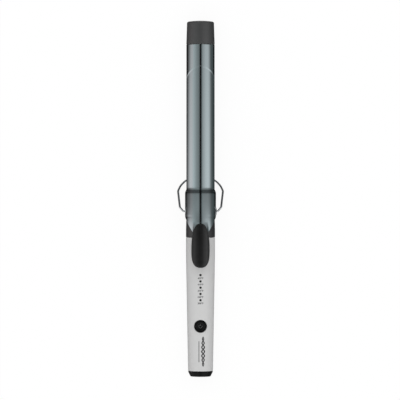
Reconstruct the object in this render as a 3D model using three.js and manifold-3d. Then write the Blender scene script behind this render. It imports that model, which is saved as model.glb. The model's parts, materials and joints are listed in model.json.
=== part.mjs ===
// A mains curling iron: heated barrel, sprung hair clamp with a thumb lever, wire rest stand, and a two-shell
// handle that holds the control board, the power button and a swivelling cord inlet.
// Millimetres. +X is right, +Y runs along the barrel to the cool tip, +Z points out of the clamp side.
// The iron lies on its back as on a table: on the foot of its folded stand and on the end of its handle.
import * as THREE from "three";
import { mergeVertices } from "three/addons/utils/BufferGeometryUtils.js";
import Module from "manifold-3d";

const wasm = await Module();
wasm.setup();

// ---- Driving dimensions. Places along the barrel are measured from the hinge axis, +Y to the tip. ----

const gap = 0.3; // clearance between neighbouring pieces

const barrelRadius = 16.25;
const barrelWall = 1.3;
const barrelFront = 191.7;
const barrelRear = -9.9;

const tipLength = 25.5; // cool tip, without its domed end
const tipProud = 0.05; // beyond the barrel at its seam
const tipTaper = 0.8;
const tipDome = 1.6;
const tipEdge = 1.6; // rounding between side and dome
const tipWall = 2;
const tipBossRadius = 3.6;
const plugDepth = 12; // insulating plug inside the barrel's front end
const plugNeck = 6; // and inside the cool tip

const spreaderFront = 176; // aluminium half shells that carry heat to the barrel
const spreaderRear = 30;
const spreaderWall = 1.6;
const heaterWidth = 10;
const heaterThickness = 1.4;
const heaterLength = 130;
const micaMargin = 1.5; // mica beyond the heater on each edge
const micaThickness = 0.4;
const sensorRadius = 1.3;
const thermistorLength = 6;
const fuseLength = 11;

const bushRadius = 3; // hollow hinge bush
const bushFlangeRadius = 4.3;
const bushFlangeThickness = 0.5;
const bushReach = 3.8; // how deep it sits in the seat
const wireRadius = 1.2; // rest stand
const seatFront = 9; // ring that joins barrel, bushes and collar
const seatRear = -16;
const seatWall = 5.4;

const clampTip = 167; // hair clamp, a pressed steel sheet
const clampThickness = 0.7;
const clampHalfAngle = 68; // degrees either side of the top
const clampRounding = 13.4; // length of the rounded tip
const stepFront = 26.5; // where the tongue steps out to the saddle
const stepLength = 6;
const saddleClearance = 0.9; // barrel to saddle, at the ears
const earAngle = 110; // how far the ears reach round the barrel, degrees
const tabRear = -61;
const tabHalfAngle = 24;
// Rise of the saddle off the barrel: place, height, and slope towards the handle.
const saddleProfile = [
  [28, 0, 0], [25, 0.14, 0.1], [22.2, 1.1, 0.62], [19.9, 2.06, 0.13],
  [5, 3.7, 0.09], [-11, 4.8, 0.045], [-24, 5, 0],
];
// Further rise of the thumb lever, which bends up out of the middle of the saddle.
const leverProfile = [[-12, 0, 0], [-30, 4.4, 0.33], [tabRear, 11.4, 0.17]];
const leverBlend = 15; // degrees over which the lever's rise fades out, from its edge outwards

const padFront = -14; // plastic thumb pad on the lever
const padRear = -64.4;
const padHalfWidth = 10.5;
const padHeight = 4.3;
const padDish = 0.9; // hollow for the thumb
const padRim = 0.2; // rim around it, as a share of the half width
const coverFront = -30.5; // plastic cover under the lever
const coverDepth = 2.2;
const coverInset = 0.6;
const leverScrews = [-37, -54];

const collarFront = -10.2;
const collarRear = -29.9;
const collarFrontStep = 0.2; // beyond the barrel, at its front and past its taper
const collarStep = 0.45;
const collarTaper = 4.6; // length over which the collar widens
const collarFlange = 2.7;
const collarWall = 2.4;
const spigotWall = 1.6;
const spigotLength = 8;
const springHalfWidth = 3.8; // leaf spring under the lever
const springThickness = 0.5;
const springSink = 1.9; // depth of the pocket that carries its foot
const springFootFront = -19.8;
const springBend = -27;
const springTip = -50;

const handleFront = collarRear - gap;
const handleRear = -183.6;
const handleTaper = 2.4;
const handleStraight = 20; // length before the taper starts
const handleWall = 2.4;
const bossRadius = 3.2;
const headBossRadius = 3.8;
const shellScrewFront = -58;
const shellScrewRear = 28.1; // from the handle's rear end

const ledFirst = -73.1;
const ledPitch = 7.2;
const ledCount = 5;
const windowRadius = 1.1;
const buttonCentre = -131.8;
const bezelRadius = 7.1;
const bezelWidth = 1.35;
const bezelProud = 0.25;
const buttonTravel = 0.6;
const buttonFlange = 0.85;

const boardFront = -66;
const boardRear = 33.6; // from the handle's rear end
const boardThickness = 1.6;
const boardHeight = 6.6; // upper face
const boardScrewFront = -112.5;
const boardScrewInset = 3.5;
const switchSide = 6.2;
const switchHeight = 3.3;

const endLength = 6.4; // from the handle to the flat end
const endChamfer = 2.75;
const endLip = 2.8;
const swivelFlangeRadius = 8.6;
const swivelNeckRadius = 6.3;
const swivelShaftRadius = 4.6;
const swivelFront = 11.6; // from the handle's rear end, as are the next places
const cordBore = 3.5; // radius, for a 6.5 mm cord
const leadBore = 2.1;
const carrierFront = 17.6;
const carrierThickness = 3;
const ringWidth = 2;
const ringWall = 1.1;
const ringCentres = [8.2, 4.2];

// Rest stand's corners, folded: beyond the barrel's side, along the barrel, and the length of each rounding.
const standBends = [[7.5, 4.6, 1.3], [9.7, 23.4, 1.4], [6.9, 29.4, 2.6], [2, 34.6, 3], [-3.5, 37.8, 4]];

const screwHead = { radius: 2.4, height: 1.5 };
const screwShank = 1.15;
const leadRadius = 0.9;
const sensorLeadRadius = 0.6;

// ---- Derived dimensions ----

const tipSeamRadius = barrelRadius + tipProud;
const tipTopRadius = tipSeamRadius - tipTaper;
const collarRadius = barrelRadius + collarStep;
const springFloor = collarRadius - springSink;
const handleRearRadius = collarRadius - handleTaper;
const endFace = handleRear - endLength;
const boreRadius = barrelRadius - barrelWall;
const fitRadius = boreRadius - gap; // what slides into the barrel
const saddleRadius = barrelRadius + saddleClearance;
const standRest = barrelRadius + gap + wireRadius; // stand foot behind the barrel axis, folded
const standLean = Math.atan2(standRest, standBends.at(-1)[1]);
const axisHeight = standRest + wireRadius; // barrel axis above the table
const tipEnd = barrelFront + gap + tipLength + tipDome;
const lengthCentre = (tipEnd + endFace) / 2;

// ---- Helpers ----

const radians = THREE.MathUtils.degToRad;
const clamp01 = (t) => THREE.MathUtils.clamp(t, 0, 1);
const smooth = (t) => THREE.MathUtils.smoothstep(t, 0, 1);

// A closed three.js geometry as a manifold-3d solid, faces outwards whichever way it was drawn.
function solidFrom(geometry) {
  const bare = geometry.clone();
  bare.deleteAttribute("normal");
  bare.deleteAttribute("uv");
  const merged = mergeVertices(bare, 1e-4);
  const vertProperties = merged.attributes.position.array;
  const triVerts = new Uint32Array(merged.index.array);
  const made = new wasm.Manifold(new wasm.Mesh({ numProp: 3, vertProperties, triVerts }));
  if (made.volume() > 0) return made;
  const turned = triVerts.map((_, i) => triVerts[i % 3 === 0 ? i : i % 3 === 1 ? i + 1 : i - 1]);
  return new wasm.Manifold(new wasm.Mesh({ numProp: 3, vertProperties, triVerts: turned }));
}

function geometryFrom(solid) {
  const { vertProperties, numProp, numVert, triVerts } = solid.getMesh();
  const position = new Float32Array(numVert * 3);
  for (let i = 0; i < numVert; i++) {
    position.set(vertProperties.subarray(i * numProp, i * numProp + 3), i * 3);
  }
  const geometry = new THREE.BufferGeometry();
  geometry.setAttribute("position", new THREE.BufferAttribute(position, 3));
  geometry.setIndex(new THREE.BufferAttribute(triVerts, 1));
  geometry.computeVertexNormals();
  return geometry;
}

const moved = (geometry, x, y, z) => geometry.translate(x, y, z);
const box = (width, length, height, x, y, z) =>
  solidFrom(moved(new THREE.BoxGeometry(width, length, height), x, y, z));

// Turned about the barrel axis. The outline is a list of [radius, y].
function turned(outline, segments = 36) {
  const closed = outline[0][0] === 0 ? outline : [...outline, outline[0]];
  return solidFrom(new THREE.LatheGeometry(closed.map(([r, y]) => new THREE.Vector2(r, y)), segments));
}

const ring = (inner, outer, rear, front, segments = 36) =>
  turned([[inner, rear], [outer, rear], [outer, front], [inner, front]], segments);

// Round bars along X and Z.
function barX(radius, from, to, y, z, segments = 24) {
  const bar = new THREE.CylinderGeometry(radius, radius, to - from, segments).rotateZ(Math.PI / 2);
  return solidFrom(moved(bar, (from + to) / 2, y, z));
}
function barZ(radius, from, to, x, y, segments = 16) {
  const bar = new THREE.CylinderGeometry(radius, radius, to - from, segments).rotateX(Math.PI / 2);
  return solidFrom(moved(bar, x, y, (from + to) / 2));
}
function barY(radius, from, to, x, z, segments = 12) {
  const bar = new THREE.CylinderGeometry(radius, radius, to - from, segments);
  return solidFrom(moved(bar, x, (from + to) / 2, z));
}

// A flat shape drawn in x and z, pushed along the barrel from rear to front.
function pushedY(shape, rear, front, curveSegments = 12) {
  const options = { depth: front - rear, bevelEnabled: false, curveSegments };
  return solidFrom(moved(new THREE.ExtrudeGeometry(shape, options).rotateX(Math.PI / 2), 0, front, 0));
}

// A flat shape drawn in y and z, pushed across the barrel.
function pushedX(shape, halfWidth, centre, curveSegments = 12) {
  const options = { depth: 2 * halfWidth, bevelEnabled: false, curveSegments };
  const geometry = new THREE.ExtrudeGeometry(shape, options).rotateY(Math.PI / 2).rotateX(Math.PI / 2);
  return solidFrom(moved(geometry, centre - halfWidth, 0, 0));
}

// A round wire of the given radius along a curve.
function wireAlong(curve, radius, steps, sides = 8) {
  const section = new THREE.Shape();
  section.absarc(0, 0, radius, 0, 2 * Math.PI);
  const options = { extrudePath: curve, steps, curveSegments: Math.ceil(sides / 2), bevelEnabled: false };
  const shape = new THREE.Shape(section.getSpacedPoints(sides).slice(0, sides));
  return solidFrom(new THREE.ExtrudeGeometry(shape, options));
}

// A closed skin between two surfaces over the unit square: lower(u, v) and upper(u, v).
function skinBetween(lower, upper, us, vs) {
  const positions = [];
  const index = [];
  const rows = us.length;
  const columns = vs.length;
  const last = columns - 1;
  for (const surface of [lower, upper])
    for (const u of us) for (const v of vs) positions.push(...surface(u, v));
  const at = (side, i, j) => side * rows * columns + i * columns + j;
  const quad = (a, b, c, d) => index.push(a, b, c, a, c, d);
  for (let i = 0; i < rows - 1; i++)
    for (let j = 0; j < columns - 1; j++) {
      quad(at(0, i, j), at(0, i, j + 1), at(0, i + 1, j + 1), at(0, i + 1, j));
      quad(at(1, i, j), at(1, i + 1, j), at(1, i + 1, j + 1), at(1, i, j + 1));
    }
  for (let i = 0; i < rows - 1; i++) {
    quad(at(0, i, 0), at(0, i + 1, 0), at(1, i + 1, 0), at(1, i, 0));
    quad(at(0, i + 1, last), at(0, i, last), at(1, i, last), at(1, i + 1, last));
  }
  for (let j = 0; j < columns - 1; j++) {
    quad(at(0, 0, j + 1), at(0, 0, j), at(1, 0, j), at(1, 0, j + 1));
    quad(at(0, rows - 1, j), at(0, rows - 1, j + 1), at(1, rows - 1, j + 1), at(1, rows - 1, j));
  }
  const geometry = new THREE.BufferGeometry();
  geometry.setAttribute("position", new THREE.BufferAttribute(new Float32Array(positions), 3));
  geometry.setIndex(index);
  return solidFrom(geometry);
}

const steps = (count) => Array.from({ length: count + 1 }, (_, i) => i / count);

// A pan-head screw along Y: its head's seat is at y = 0 and its shank runs to +Y.
function screwSolid(length, shank = screwShank, head = screwHead) {
  const body = turned(
    [[0, -head.height], [head.radius * 0.75, -head.height], [head.radius, -head.height * 0.4],
      [head.radius, 0], [shank, 0], [shank, length - shank], [0, length]],
    10,
  );
  return body.subtract(box(head.radius * 1.1, head.height, head.radius * 0.3, 0, -head.height, 0));
}

const finishes = {
  titanium: { color: 0x6f7b7b, roughness: 0.22, metalness: 1 },
  charcoal: { color: 0x47474a, roughness: 0.5, metalness: 0 },
  black: { color: 0x1d1d1e, roughness: 0.38, metalness: 0 },
  handle: { color: 0xc4c4c4, roughness: 0.45, metalness: 0 },
  chrome: { color: 0xc8c9cb, roughness: 0.12, metalness: 1 },
  steel: { color: 0x9a9a98, roughness: 0.35, metalness: 1 },
  aluminium: { color: 0xb6b8ba, roughness: 0.4, metalness: 1 },
  brass: { color: 0xc7a154, roughness: 0.3, metalness: 1 },
  ceramic: { color: 0xe9e6dd, roughness: 0.7, metalness: 0 },
  mica: { color: 0xb59a6a, roughness: 0.6, metalness: 0 },
  board: { color: 0x1f5c3a, roughness: 0.6, metalness: 0 },
  smoked: { color: 0x2e2f31, roughness: 0.15, metalness: 0 },
  redLead: { color: 0xa8342c, roughness: 0.55, metalness: 0 },
  blueLead: { color: 0x2f4f86, roughness: 0.55, metalness: 0 },
};

const iron = new THREE.Group();
iron.position.set(0, -lengthCentre, axisHeight);

function piece(group, name, solid, finish) {
  const mesh = new THREE.Mesh(geometryFrom(solid), new THREE.MeshStandardMaterial(finishes[finish]));
  mesh.name = name;
  group.add(mesh);
  return mesh;
}

// ---- Barrel and heater ----

const hingeHoles = barX(bushRadius + gap, -barrelRadius * 1.3, barrelRadius * 1.3, 0, 0);

function barrel() {
  const tube = ring(boreRadius, barrelRadius, barrelRear, barrelFront, 40);
  piece(iron, "barrel_tube", tube.subtract(hingeHoles), "titanium");
}

function coolTip() {
  const seam = barrelFront + gap;
  const shoulder = seam + tipLength;
  const screwEnd = shoulder - tipWall;
  const neckRadius = fitRadius + gap;
  const edge = steps(3).map((t) => [
    tipTopRadius - tipEdge * (1 - Math.cos((t * Math.PI) / 2)),
    shoulder - tipEdge * (1 - Math.sin((t * Math.PI) / 2)),
  ]);
  const domeFoot = edge.at(-1)[0];
  const dome = steps(3)
    .slice(1)
    .map((t) => [domeFoot * (1 - t), shoulder + tipDome * (1 - (1 - t) ** 2)]);
  const cap = turned([
    [0, screwEnd - gap], [screwShank + gap, screwEnd - gap], [screwShank + gap, seam + plugNeck + gap],
    [tipBossRadius, seam + plugNeck + gap], [tipBossRadius, screwEnd], [tipTopRadius - tipWall, screwEnd],
    [tipSeamRadius - tipWall, seam + plugNeck + gap], [neckRadius, seam + plugNeck + gap], [neckRadius, seam],
    [tipSeamRadius, seam], ...edge, ...dome,
  ]);
  piece(iron, "cool_tip", cap, "charcoal");

  const plugRear = barrelFront - plugDepth;
  const headRoom = screwHead.height + gap;
  const plug = turned([
    [screwHead.radius + gap, plugRear], [fitRadius, plugRear], [fitRadius, seam + plugNeck],
    [screwShank + gap, seam + plugNeck], [screwShank + gap, plugRear + headRoom],
    [screwHead.radius + gap, plugRear + headRoom],
  ]);
  piece(iron, "tip_plug", plug, "ceramic");
  const screw = screwSolid(screwEnd - 2 * gap - plugRear - headRoom - gap);
  piece(iron, "tip_screw", screw, "steel").position.y = plugRear + headRoom - gap;
}

function heater() {
  const stack = heaterThickness / 2 + gap;
  const flat = stack + micaThickness + gap;
  const front = spreaderFront;
  for (const [name, side] of [["top", 1], ["bottom", -1]]) {
    const half = new THREE.Shape();
    const start = Math.asin(flat / fitRadius);
    half.absarc(0, 0, fitRadius, start, Math.PI - start);
    half.closePath();
    const hollow = new THREE.Path();
    const inner = fitRadius - spreaderWall;
    const innerStart = Math.asin((flat + spreaderWall) / inner);
    hollow.absarc(0, 0, inner, innerStart, Math.PI - innerStart);
    hollow.closePath();
    half.holes.push(hollow);
    const spreader = pushedY(half, spreaderRear, front, 10);
    const mesh = piece(iron, `heat_spreader_${name}`, spreader, "aluminium");
    if (side < 0) mesh.rotation.y = Math.PI;
    const mica = box(
      heaterWidth + 2 * micaMargin, heaterLength + 2 * micaMargin, micaThickness,
      0, (spreaderRear + front) / 2, side * (stack + micaThickness / 2),
    );
    piece(iron, `mica_sheet_${name}`, mica, "mica");
  }
  const middle = (spreaderRear + front) / 2;
  piece(iron, "heater_plate", box(heaterWidth, heaterLength, heaterThickness, 0, middle, 0), "ceramic");

  // Bowed strips beside the heater press the two halves out against the barrel.
  const stripWidth = (fitRadius - heaterWidth / 2 - micaMargin - 3 * gap) * 0.55;
  const bow = flat - gap;
  for (const [name, side] of [["left", -1], ["right", 1]]) {
    const strip = new THREE.Shape();
    const half = heaterLength / 4;
    strip.moveTo(middle - half, -bow);
    strip.quadraticCurveTo(middle, 3 * bow - 2 * micaThickness, middle + half, -bow);
    strip.lineTo(middle + half, -bow + micaThickness);
    strip.quadraticCurveTo(middle, 3 * bow, middle - half, -bow + micaThickness);
    strip.closePath();
    const centre = side * (heaterWidth / 2 + micaMargin + gap + stripWidth / 2);
    piece(iron, `spreader_spring_${name}`, pushedX(strip, stripWidth / 2, centre, 8), "steel");
  }
  const plateRear = middle - heaterLength / 2 - micaMargin;
  const sensorSide = heaterWidth / 4;
  const sensorFront = plateRear - gap;
  const bead = (length, x) => barY(sensorRadius, sensorFront - length, sensorFront, x, 0);
  piece(iron, "thermistor", bead(thermistorLength, -sensorSide), "ceramic");
  piece(iron, "thermal_fuse", bead(fuseLength, sensorSide), "steel");
  return {
    side: sensorSide,
    front: sensorFront,
    thermistorRear: sensorFront - thermistorLength,
    fuseRear: sensorFront - fuseLength,
  };
}

// ---- Hinge ----

function hinge() {
  const seatHole = fitRadius - seatWall;
  let seat = ring(seatHole, fitRadius, seatRear, seatFront).subtract(hingeHoles);
  for (const [x, z] of collarScrewPlaces())
    seat = seat.subtract(barY(screwShank + gap, seatRear - 1, seatRear + 9, x, z));
  piece(iron, "barrel_seat", seat, "ceramic");

  const inner = fitRadius - bushReach;
  const outer = saddleRadius + clampThickness + gap;
  const bush = turned(
    [[wireRadius + gap, inner], [bushRadius, inner], [bushRadius, outer], [bushFlangeRadius, outer],
      [bushFlangeRadius, outer + bushFlangeThickness * 0.5],
      [bushFlangeRadius - bushFlangeThickness * 0.5, outer + bushFlangeThickness],
      [wireRadius + gap, outer + bushFlangeThickness]],
    18,
  );
  piece(iron, "hinge_bush_right", bush, "chrome").rotation.z = -Math.PI / 2;
  piece(iron, "hinge_bush_left", bush, "chrome").rotation.z = Math.PI / 2;
}

function collarScrewPlaces() {
  const headRoom = collarRadius - collarWall - gap - screwHead.radius;
  const radius = Math.min(fitRadius - seatWall / 2, headRoom);
  const angle = radians(45);
  return [-1, 1].map((side) => [side * radius * Math.sin(angle), -radius * Math.cos(angle)]);
}

// ---- Collar with the leaf spring ----

function collar() {
  const bore = fitRadius + gap;
  const flangeFront = seatRear - gap;
  const flangeRear = flangeFront - collarFlange;
  const cavity = collarRadius - collarWall;
  const spigot = collarRadius - handleWall - gap;
  const spigotRear = collarRear - spigotLength;
  const spigotRoot = collarRear + spigotWall + gap;
  const body = turned(
    [[bore, collarFront], [barrelRadius + collarFrontStep, collarFront],
      [collarRadius - 0.15, collarFront - collarTaper], [collarRadius, collarRear], [spigot, collarRear],
      [spigot, spigotRear], [spigot - spigotWall, spigotRear], [spigot - spigotWall, spigotRoot],
      [cavity, spigotRoot], [cavity, flangeRear], [cavity / 2, flangeRear], [cavity / 2, flangeFront],
      [bore, flangeFront]],
    40,
  );
  const bossDepth = springFloor - cavity * 0.6;
  const bossLength = flangeRear - collarRear;
  const boss = box(
    2 * springHalfWidth + 3, bossLength + 0.4, bossDepth,
    0, (flangeRear + collarRear) / 2 + 0.2, springFloor - bossDepth / 2,
  );
  const pocketLength = springFootFront + gap - spigotRear + 1;
  const pocket = box(
    2 * (springHalfWidth + gap * 2), pocketLength, collarRadius,
    0, springFootFront + gap - pocketLength / 2, springFloor + collarRadius / 2,
  );
  const screwY = (springFootFront + springBend) / 2;
  let collarSolid = body.add(boss).subtract(pocket);
  collarSolid = collarSolid.subtract(barZ(screwShank + gap, springFloor - 5, springFloor + 1, 0, screwY));
  for (const [x, z] of collarScrewPlaces())
    collarSolid = collarSolid.subtract(barY(screwShank + gap, flangeRear - 1, flangeFront + 1, x, z));
  piece(iron, "nose_collar", collarSolid, "black");

  for (const [i, [x, z]] of collarScrewPlaces().entries()) {
    const screw = piece(iron, `collar_screw_${i ? "right" : "left"}`, screwSolid(9), "steel");
    screw.position.set(x, flangeRear - gap, z);
  }

  // The leaf rises from its foot in the collar to the underside of the lever.
  const foot = springFloor + gap;
  const top = coverUnderside(springHalfWidth, springTip) - gap - springThickness;
  const leaf = new THREE.Shape();
  const run = (springTip - springBend) / 3;
  const [low, high] = [springBend + run, springTip - run];
  const lean = top + leverSlope(springTip) * run;
  leaf.moveTo(springFootFront, foot);
  leaf.lineTo(springBend, foot);
  leaf.bezierCurveTo(low, foot, high, lean, springTip, top);
  leaf.lineTo(springTip, top + springThickness);
  const back = foot + springThickness;
  leaf.bezierCurveTo(high, lean + springThickness, low, back, springBend, back);
  leaf.lineTo(springFootFront, back);
  leaf.closePath();
  const hole = barZ(screwShank + gap, foot - 1, foot + 2, 0, screwY);
  piece(iron, "clamp_spring", pushedX(leaf, springHalfWidth, 0, 10).subtract(hole), "steel");
  const flatHead = { radius: 2, height: 0.9 };
  const screw = piece(iron, "spring_screw", screwSolid(4.5, screwShank, flatHead), "steel");
  screw.rotation.x = -Math.PI / 2;
  screw.position.set(0, screwY, foot + springThickness + gap / 2);
}

// ---- Clamp ----

// Height of a profile at y, through cubic stretches between its places.
function profileAt(profile, y) {
  if (y >= profile[0][0]) return 0;
  const past = profile.findIndex(([place]) => place <= y);
  const next = past < 0 ? profile.length - 1 : past;
  const [y0, z0, slope0] = profile[next - 1];
  const [y1, z1, slope1] = profile[next];
  const run = y0 - y1;
  const t = (y0 - y) / run;
  if (t > 1) return z1 + slope1 * (y1 - y);
  const hermite = (2 * t ** 3 - 3 * t ** 2 + 1) * z0 + (3 * t ** 2 - 2 * t ** 3) * z1;
  return hermite + run * ((t ** 3 - 2 * t ** 2 + t) * slope0 + (t ** 3 - t ** 2) * slope1);
}

// How far the clamp stands off its own radius, at y and at an angle from the top in degrees.
const leverShare = (angle) => smooth((tabHalfAngle + 1 + leverBlend - Math.abs(angle)) / leverBlend);
const clampLift = (y, angle = 0) =>
  profileAt(saddleProfile, y) + profileAt(leverProfile, y) * leverShare(angle);

const leverSlope = (y) => clampLift(y - 0.5) - clampLift(y + 0.5);

const clampRadius = (y) =>
  barrelRadius + gap + (saddleClearance - gap) * smooth((stepFront - y) / stepLength);

// A point of the clamp sheet: angle from the top in degrees, and height off the inner face.
function clampPoint(angle, y, height) {
  const a = radians(angle);
  const r = clampRadius(y) + height;
  const share = smooth((90 - Math.abs(angle)) / 30);
  return [r * Math.sin(a), y, r * Math.cos(a) + clampLift(y, angle) * share];
}

// Height of the inner face over a place on the lever, carried on past the lever's edges.
function sheetInner(x, y) {
  return Math.sqrt(clampRadius(y) ** 2 - x ** 2) + clampLift(y);
}

// The same over the saddle, which the lever bends out of.
function saddleInner(x, y) {
  const angle = THREE.MathUtils.radToDeg(Math.asin(x / clampRadius(y)));
  const past = smooth((clampEdge.at(-1)[0] + 7 - y) / 7);
  const full = sheetInner(x, y);
  return full - profileAt(leverProfile, y) * (1 - leverShare(angle)) * (1 - past);
}

const coverUnderside = (x, y) => sheetInner(x, y) - gap / 2 - coverDepth;

// The sheet's edge from the step to the lever, as y and angle from the top.
const clampEdge = [
  [stepFront, clampHalfAngle], [stepFront - 1.5, clampHalfAngle + 2], [stepFront - 3, clampHalfAngle + 7],
  [stepFront - 4.5, clampHalfAngle + 14], [stepFront - 6.5, 91], [stepFront - 10, 95], [stepFront - 15, 99],
  [4.5, earAngle - 1], [-1, earAngle], [-4.8, earAngle - 8], [-7.3, 79], [-9.8, 66], [-13, 57], [-16.6, 48],
  [-20, 39], [-23, 31.5],
  [-25, tabHalfAngle + 2], [-27, tabHalfAngle],
];

function clampRows() {
  const tipShares = [0.08, 0.22, 0.38, 0.54, 0.7, 0.85, 1];
  const tip = tipShares.map((t) => [clampTip - clampRounding * t * t, clampHalfAngle * t]);
  const tabFront = clampEdge.at(-1)[0];
  const tab = steps(6)
    .slice(1)
    .map((t) => [tabFront + (tabRear - tabFront) * t, tabHalfAngle - 6 * Math.max(0, t * 3 - 2)]);
  return [...tip, ...clampEdge, ...tab];
}

function clampSheet(inner, outer, margin, columns) {
  const rows = clampRows().map(([y, angle]) => [y, angle + margin]);
  const us = rows.map((_, i) => i / (rows.length - 1));
  const surface = (height) => (u, v) => {
    const [y, angle] = rows[Math.round(u * (rows.length - 1))];
    return clampPoint((2 * v - 1) * angle, y, height);
  };
  return skinBetween(surface(inner), surface(outer), us, steps(columns));
}

const clamp = new THREE.Group(); // turns about the hinge axis
iron.add(clamp);

function padWidth(y) {
  const t = clamp01((padFront - y) / (padFront - padRear));
  const front = clamp01(1 - (1 - clamp01(t / 0.56)) ** 2) ** 0.37;
  const rear = clamp01(1 - clamp01(2 * t - 1) ** 4) ** 0.42;
  return padHalfWidth * Math.max(0.04, front * rear);
}

function padTop(x, y) {
  const t = clamp01((padFront - y) / (padFront - padRear));
  const ends = Math.sqrt(clamp01(1 - Math.abs(2 * t - 1) ** 5)) * 0.92 + 0.08;
  const across = Math.abs(x) / Math.max(padWidth(y), 1e-6);
  const dish = padDish * smooth((1 - padRim - across) / 0.3) * smooth((1 - Math.abs(2 * t - 1)) / 0.35);
  return sheetInner(x, y) + padHeight * ends * Math.sqrt(Math.max(0, 1 - across ** 3.4)) - dish;
}

function lever() {
  const sheet = clampSheet(0, clampThickness, 0, 16).subtract(barX(bushRadius + gap, -30, 30, 0, 0));
  const holes = leverScrews.map((y) => tilted(barZ(screwShank + gap, -6, 6, 0, 0, 12), y));
  piece(clamp, "clamp_plate", holes.reduce((made, hole) => made.subtract(hole), sheet), "titanium");

  const share = (t) => 0.002 + 0.996 * (0.5 - 0.5 * Math.cos(Math.PI * t)); // rows close up at both ends
  const rows = steps(14).map((t) => padFront + (padRear - padFront) * share(t));
  const us = rows.map((_, i) => i / (rows.length - 1));
  const rowAt = (u) => rows[Math.round(u * (rows.length - 1))];
  const across = (v) => -Math.cos(Math.PI * v);
  const under = (u, v) => {
    const y = rowAt(u);
    const x = padWidth(y) * across(v);
    return [x, y, saddleInner(x, y) + gap / 2];
  };
  const over = (u, v) => {
    const y = rowAt(u);
    const x = padWidth(y) * across(v);
    return [x, y, Math.max(padTop(x, y), sheetInner(x, y) + gap) + 0.4];
  };
  const pocket = clampSheet(-gap, clampThickness + gap, 1.2, 16);
  let pad = skinBetween(under, over, us, steps(12)).subtract(pocket);
  for (const y of leverScrews) pad = pad.subtract(tilted(barZ(screwShank + gap, -3, 3, 0, 0, 12), y));
  piece(clamp, "thumb_pad", largest(pad), "black");

  const coverRear = padRear + 1;
  const coverRows = steps(8).map((t) => coverFront + (coverRear - coverFront) * t);
  const coverAt = (u) => coverRows[Math.round(u * (coverRows.length - 1))];
  const coverX = (u, v) => {
    const y = coverAt(u);
    const end = Math.sqrt(clamp01(1 - (1 - clamp01(u / 0.12)) ** 2)) * 0.6 + 0.4;
    return Math.max(0.6, (padWidth(y) - coverInset) * end) * across(v);
  };
  const upper = (u, v) => [coverX(u, v), coverAt(u), sheetInner(coverX(u, v), coverAt(u)) - gap];
  const lower = (u, v) => {
    const x = coverX(u, v);
    const edge = Math.sqrt(Math.max(0, 1 - across(v) ** 4));
    return [x, coverAt(u), sheetInner(x, coverAt(u)) - gap - 0.3 - (coverDepth - 0.45) * edge];
  };
  let cover = skinBetween(lower, upper, coverRows.map((_, i) => i / 8), steps(10));
  for (const y of leverScrews) {
    cover = cover.subtract(tilted(barZ(screwShank + gap, -6, 6, 0, 0, 12), y));
    cover = cover.subtract(tilted(barZ(screwHead.radius + gap, -6, -1.5, 0, 0), y));
  }
  piece(clamp, "lever_cover", cover, "black");

  for (const [i, y] of leverScrews.entries()) {
    const flatHead = { radius: 2.2, height: 1 };
    const solid = screwSolid(3.6, screwShank, flatHead);
    const screw = piece(clamp, `lever_screw_${i ? "rear" : "front"}`, solid, "steel");
    const tilt = Math.atan(leverSlope(y));
    const down = 1.5 + gap / 2;
    screw.rotation.x = Math.PI / 2 - tilt;
    screw.position.set(0, y - down * Math.sin(tilt), sheetInner(0, y) - down * Math.cos(tilt));
  }
}

// Places a tool made about the origin on the lever at y, square to the sheet.
function tilted(solid, y) {
  const tilt = THREE.MathUtils.radToDeg(Math.atan(leverSlope(y)));
  return solid.rotate([-tilt, 0, 0]).translate([0, y, sheetInner(0, y)]);
}

function largest(solid) {
  return solid.decompose().sort((a, b) => b.volume() - a.volume())[0];
}

// ---- Rest stand ----

// Straight runs between corners, each corner rounded over the given length.
function roundedPath(corners, rounding) {
  const path = new THREE.CurvePath();
  let from = corners[0];
  for (let i = 1; i < corners.length - 1; i++) {
    const corner = corners[i];
    const before = corner.clone().sub(corners[i - 1]).setLength(-rounding[i - 1]).add(corner);
    const after = corners[i + 1].clone().sub(corner).setLength(rounding[i - 1]).add(corner);
    path.add(new THREE.LineCurve3(from, before));
    path.add(new THREE.QuadraticBezierCurve3(before, corner, after));
    from = after;
  }
  path.add(new THREE.LineCurve3(from, corners.at(-1)));
  return path;
}

function restStand() {
  const outside = saddleRadius + clampThickness + gap + bushFlangeThickness;
  const bends = standBends.map(([x, y]) => [barrelRadius + x, y]);
  const right = [[fitRadius - bushReach + 1.5, 0], [outside + wireRadius, 0], ...bends];
  const loop = [...right, ...right.toReversed().map(([x, y]) => [-x, y])];
  const corners = loop.map(([x, y]) => new THREE.Vector3(x, y / Math.cos(standLean), 0));
  const roundings = [0.9, ...standBends.map((bend) => bend[2])];
  const rounding = [...roundings, ...roundings.toReversed()];
  const wire = wireAlong(roundedPath(corners, rounding), wireRadius, 72);
  const mesh = piece(iron, "stand_wire", wire, "chrome");
  mesh.rotation.x = -standLean;
}

// ---- Handle ----

const shellScrews = [shellScrewFront, handleRear + shellScrewRear];
const boardScrews = [boardScrewFront, handleRear + boardRear + boardScrewInset];

function handleRadius(y) {
  const taper = (handleFront - handleStraight - y) / (handleFront - handleStraight - handleRear);
  return collarRadius - handleTaper * Math.max(0, taper);
}

function handleOutline(offset, rear = handleRear, front = handleFront) {
  const middle = [0.35, 0.65].map((t) => front - handleStraight + (rear - front + handleStraight) * t);
  return [front, front - handleStraight, ...middle, rear].map((y) => [handleRadius(y) + offset, y]);
}

function handleEnvelope(offset) {
  const side = handleOutline(offset);
  return turned([[0, handleFront], ...side, [0, handleRear]], 40);
}

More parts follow.
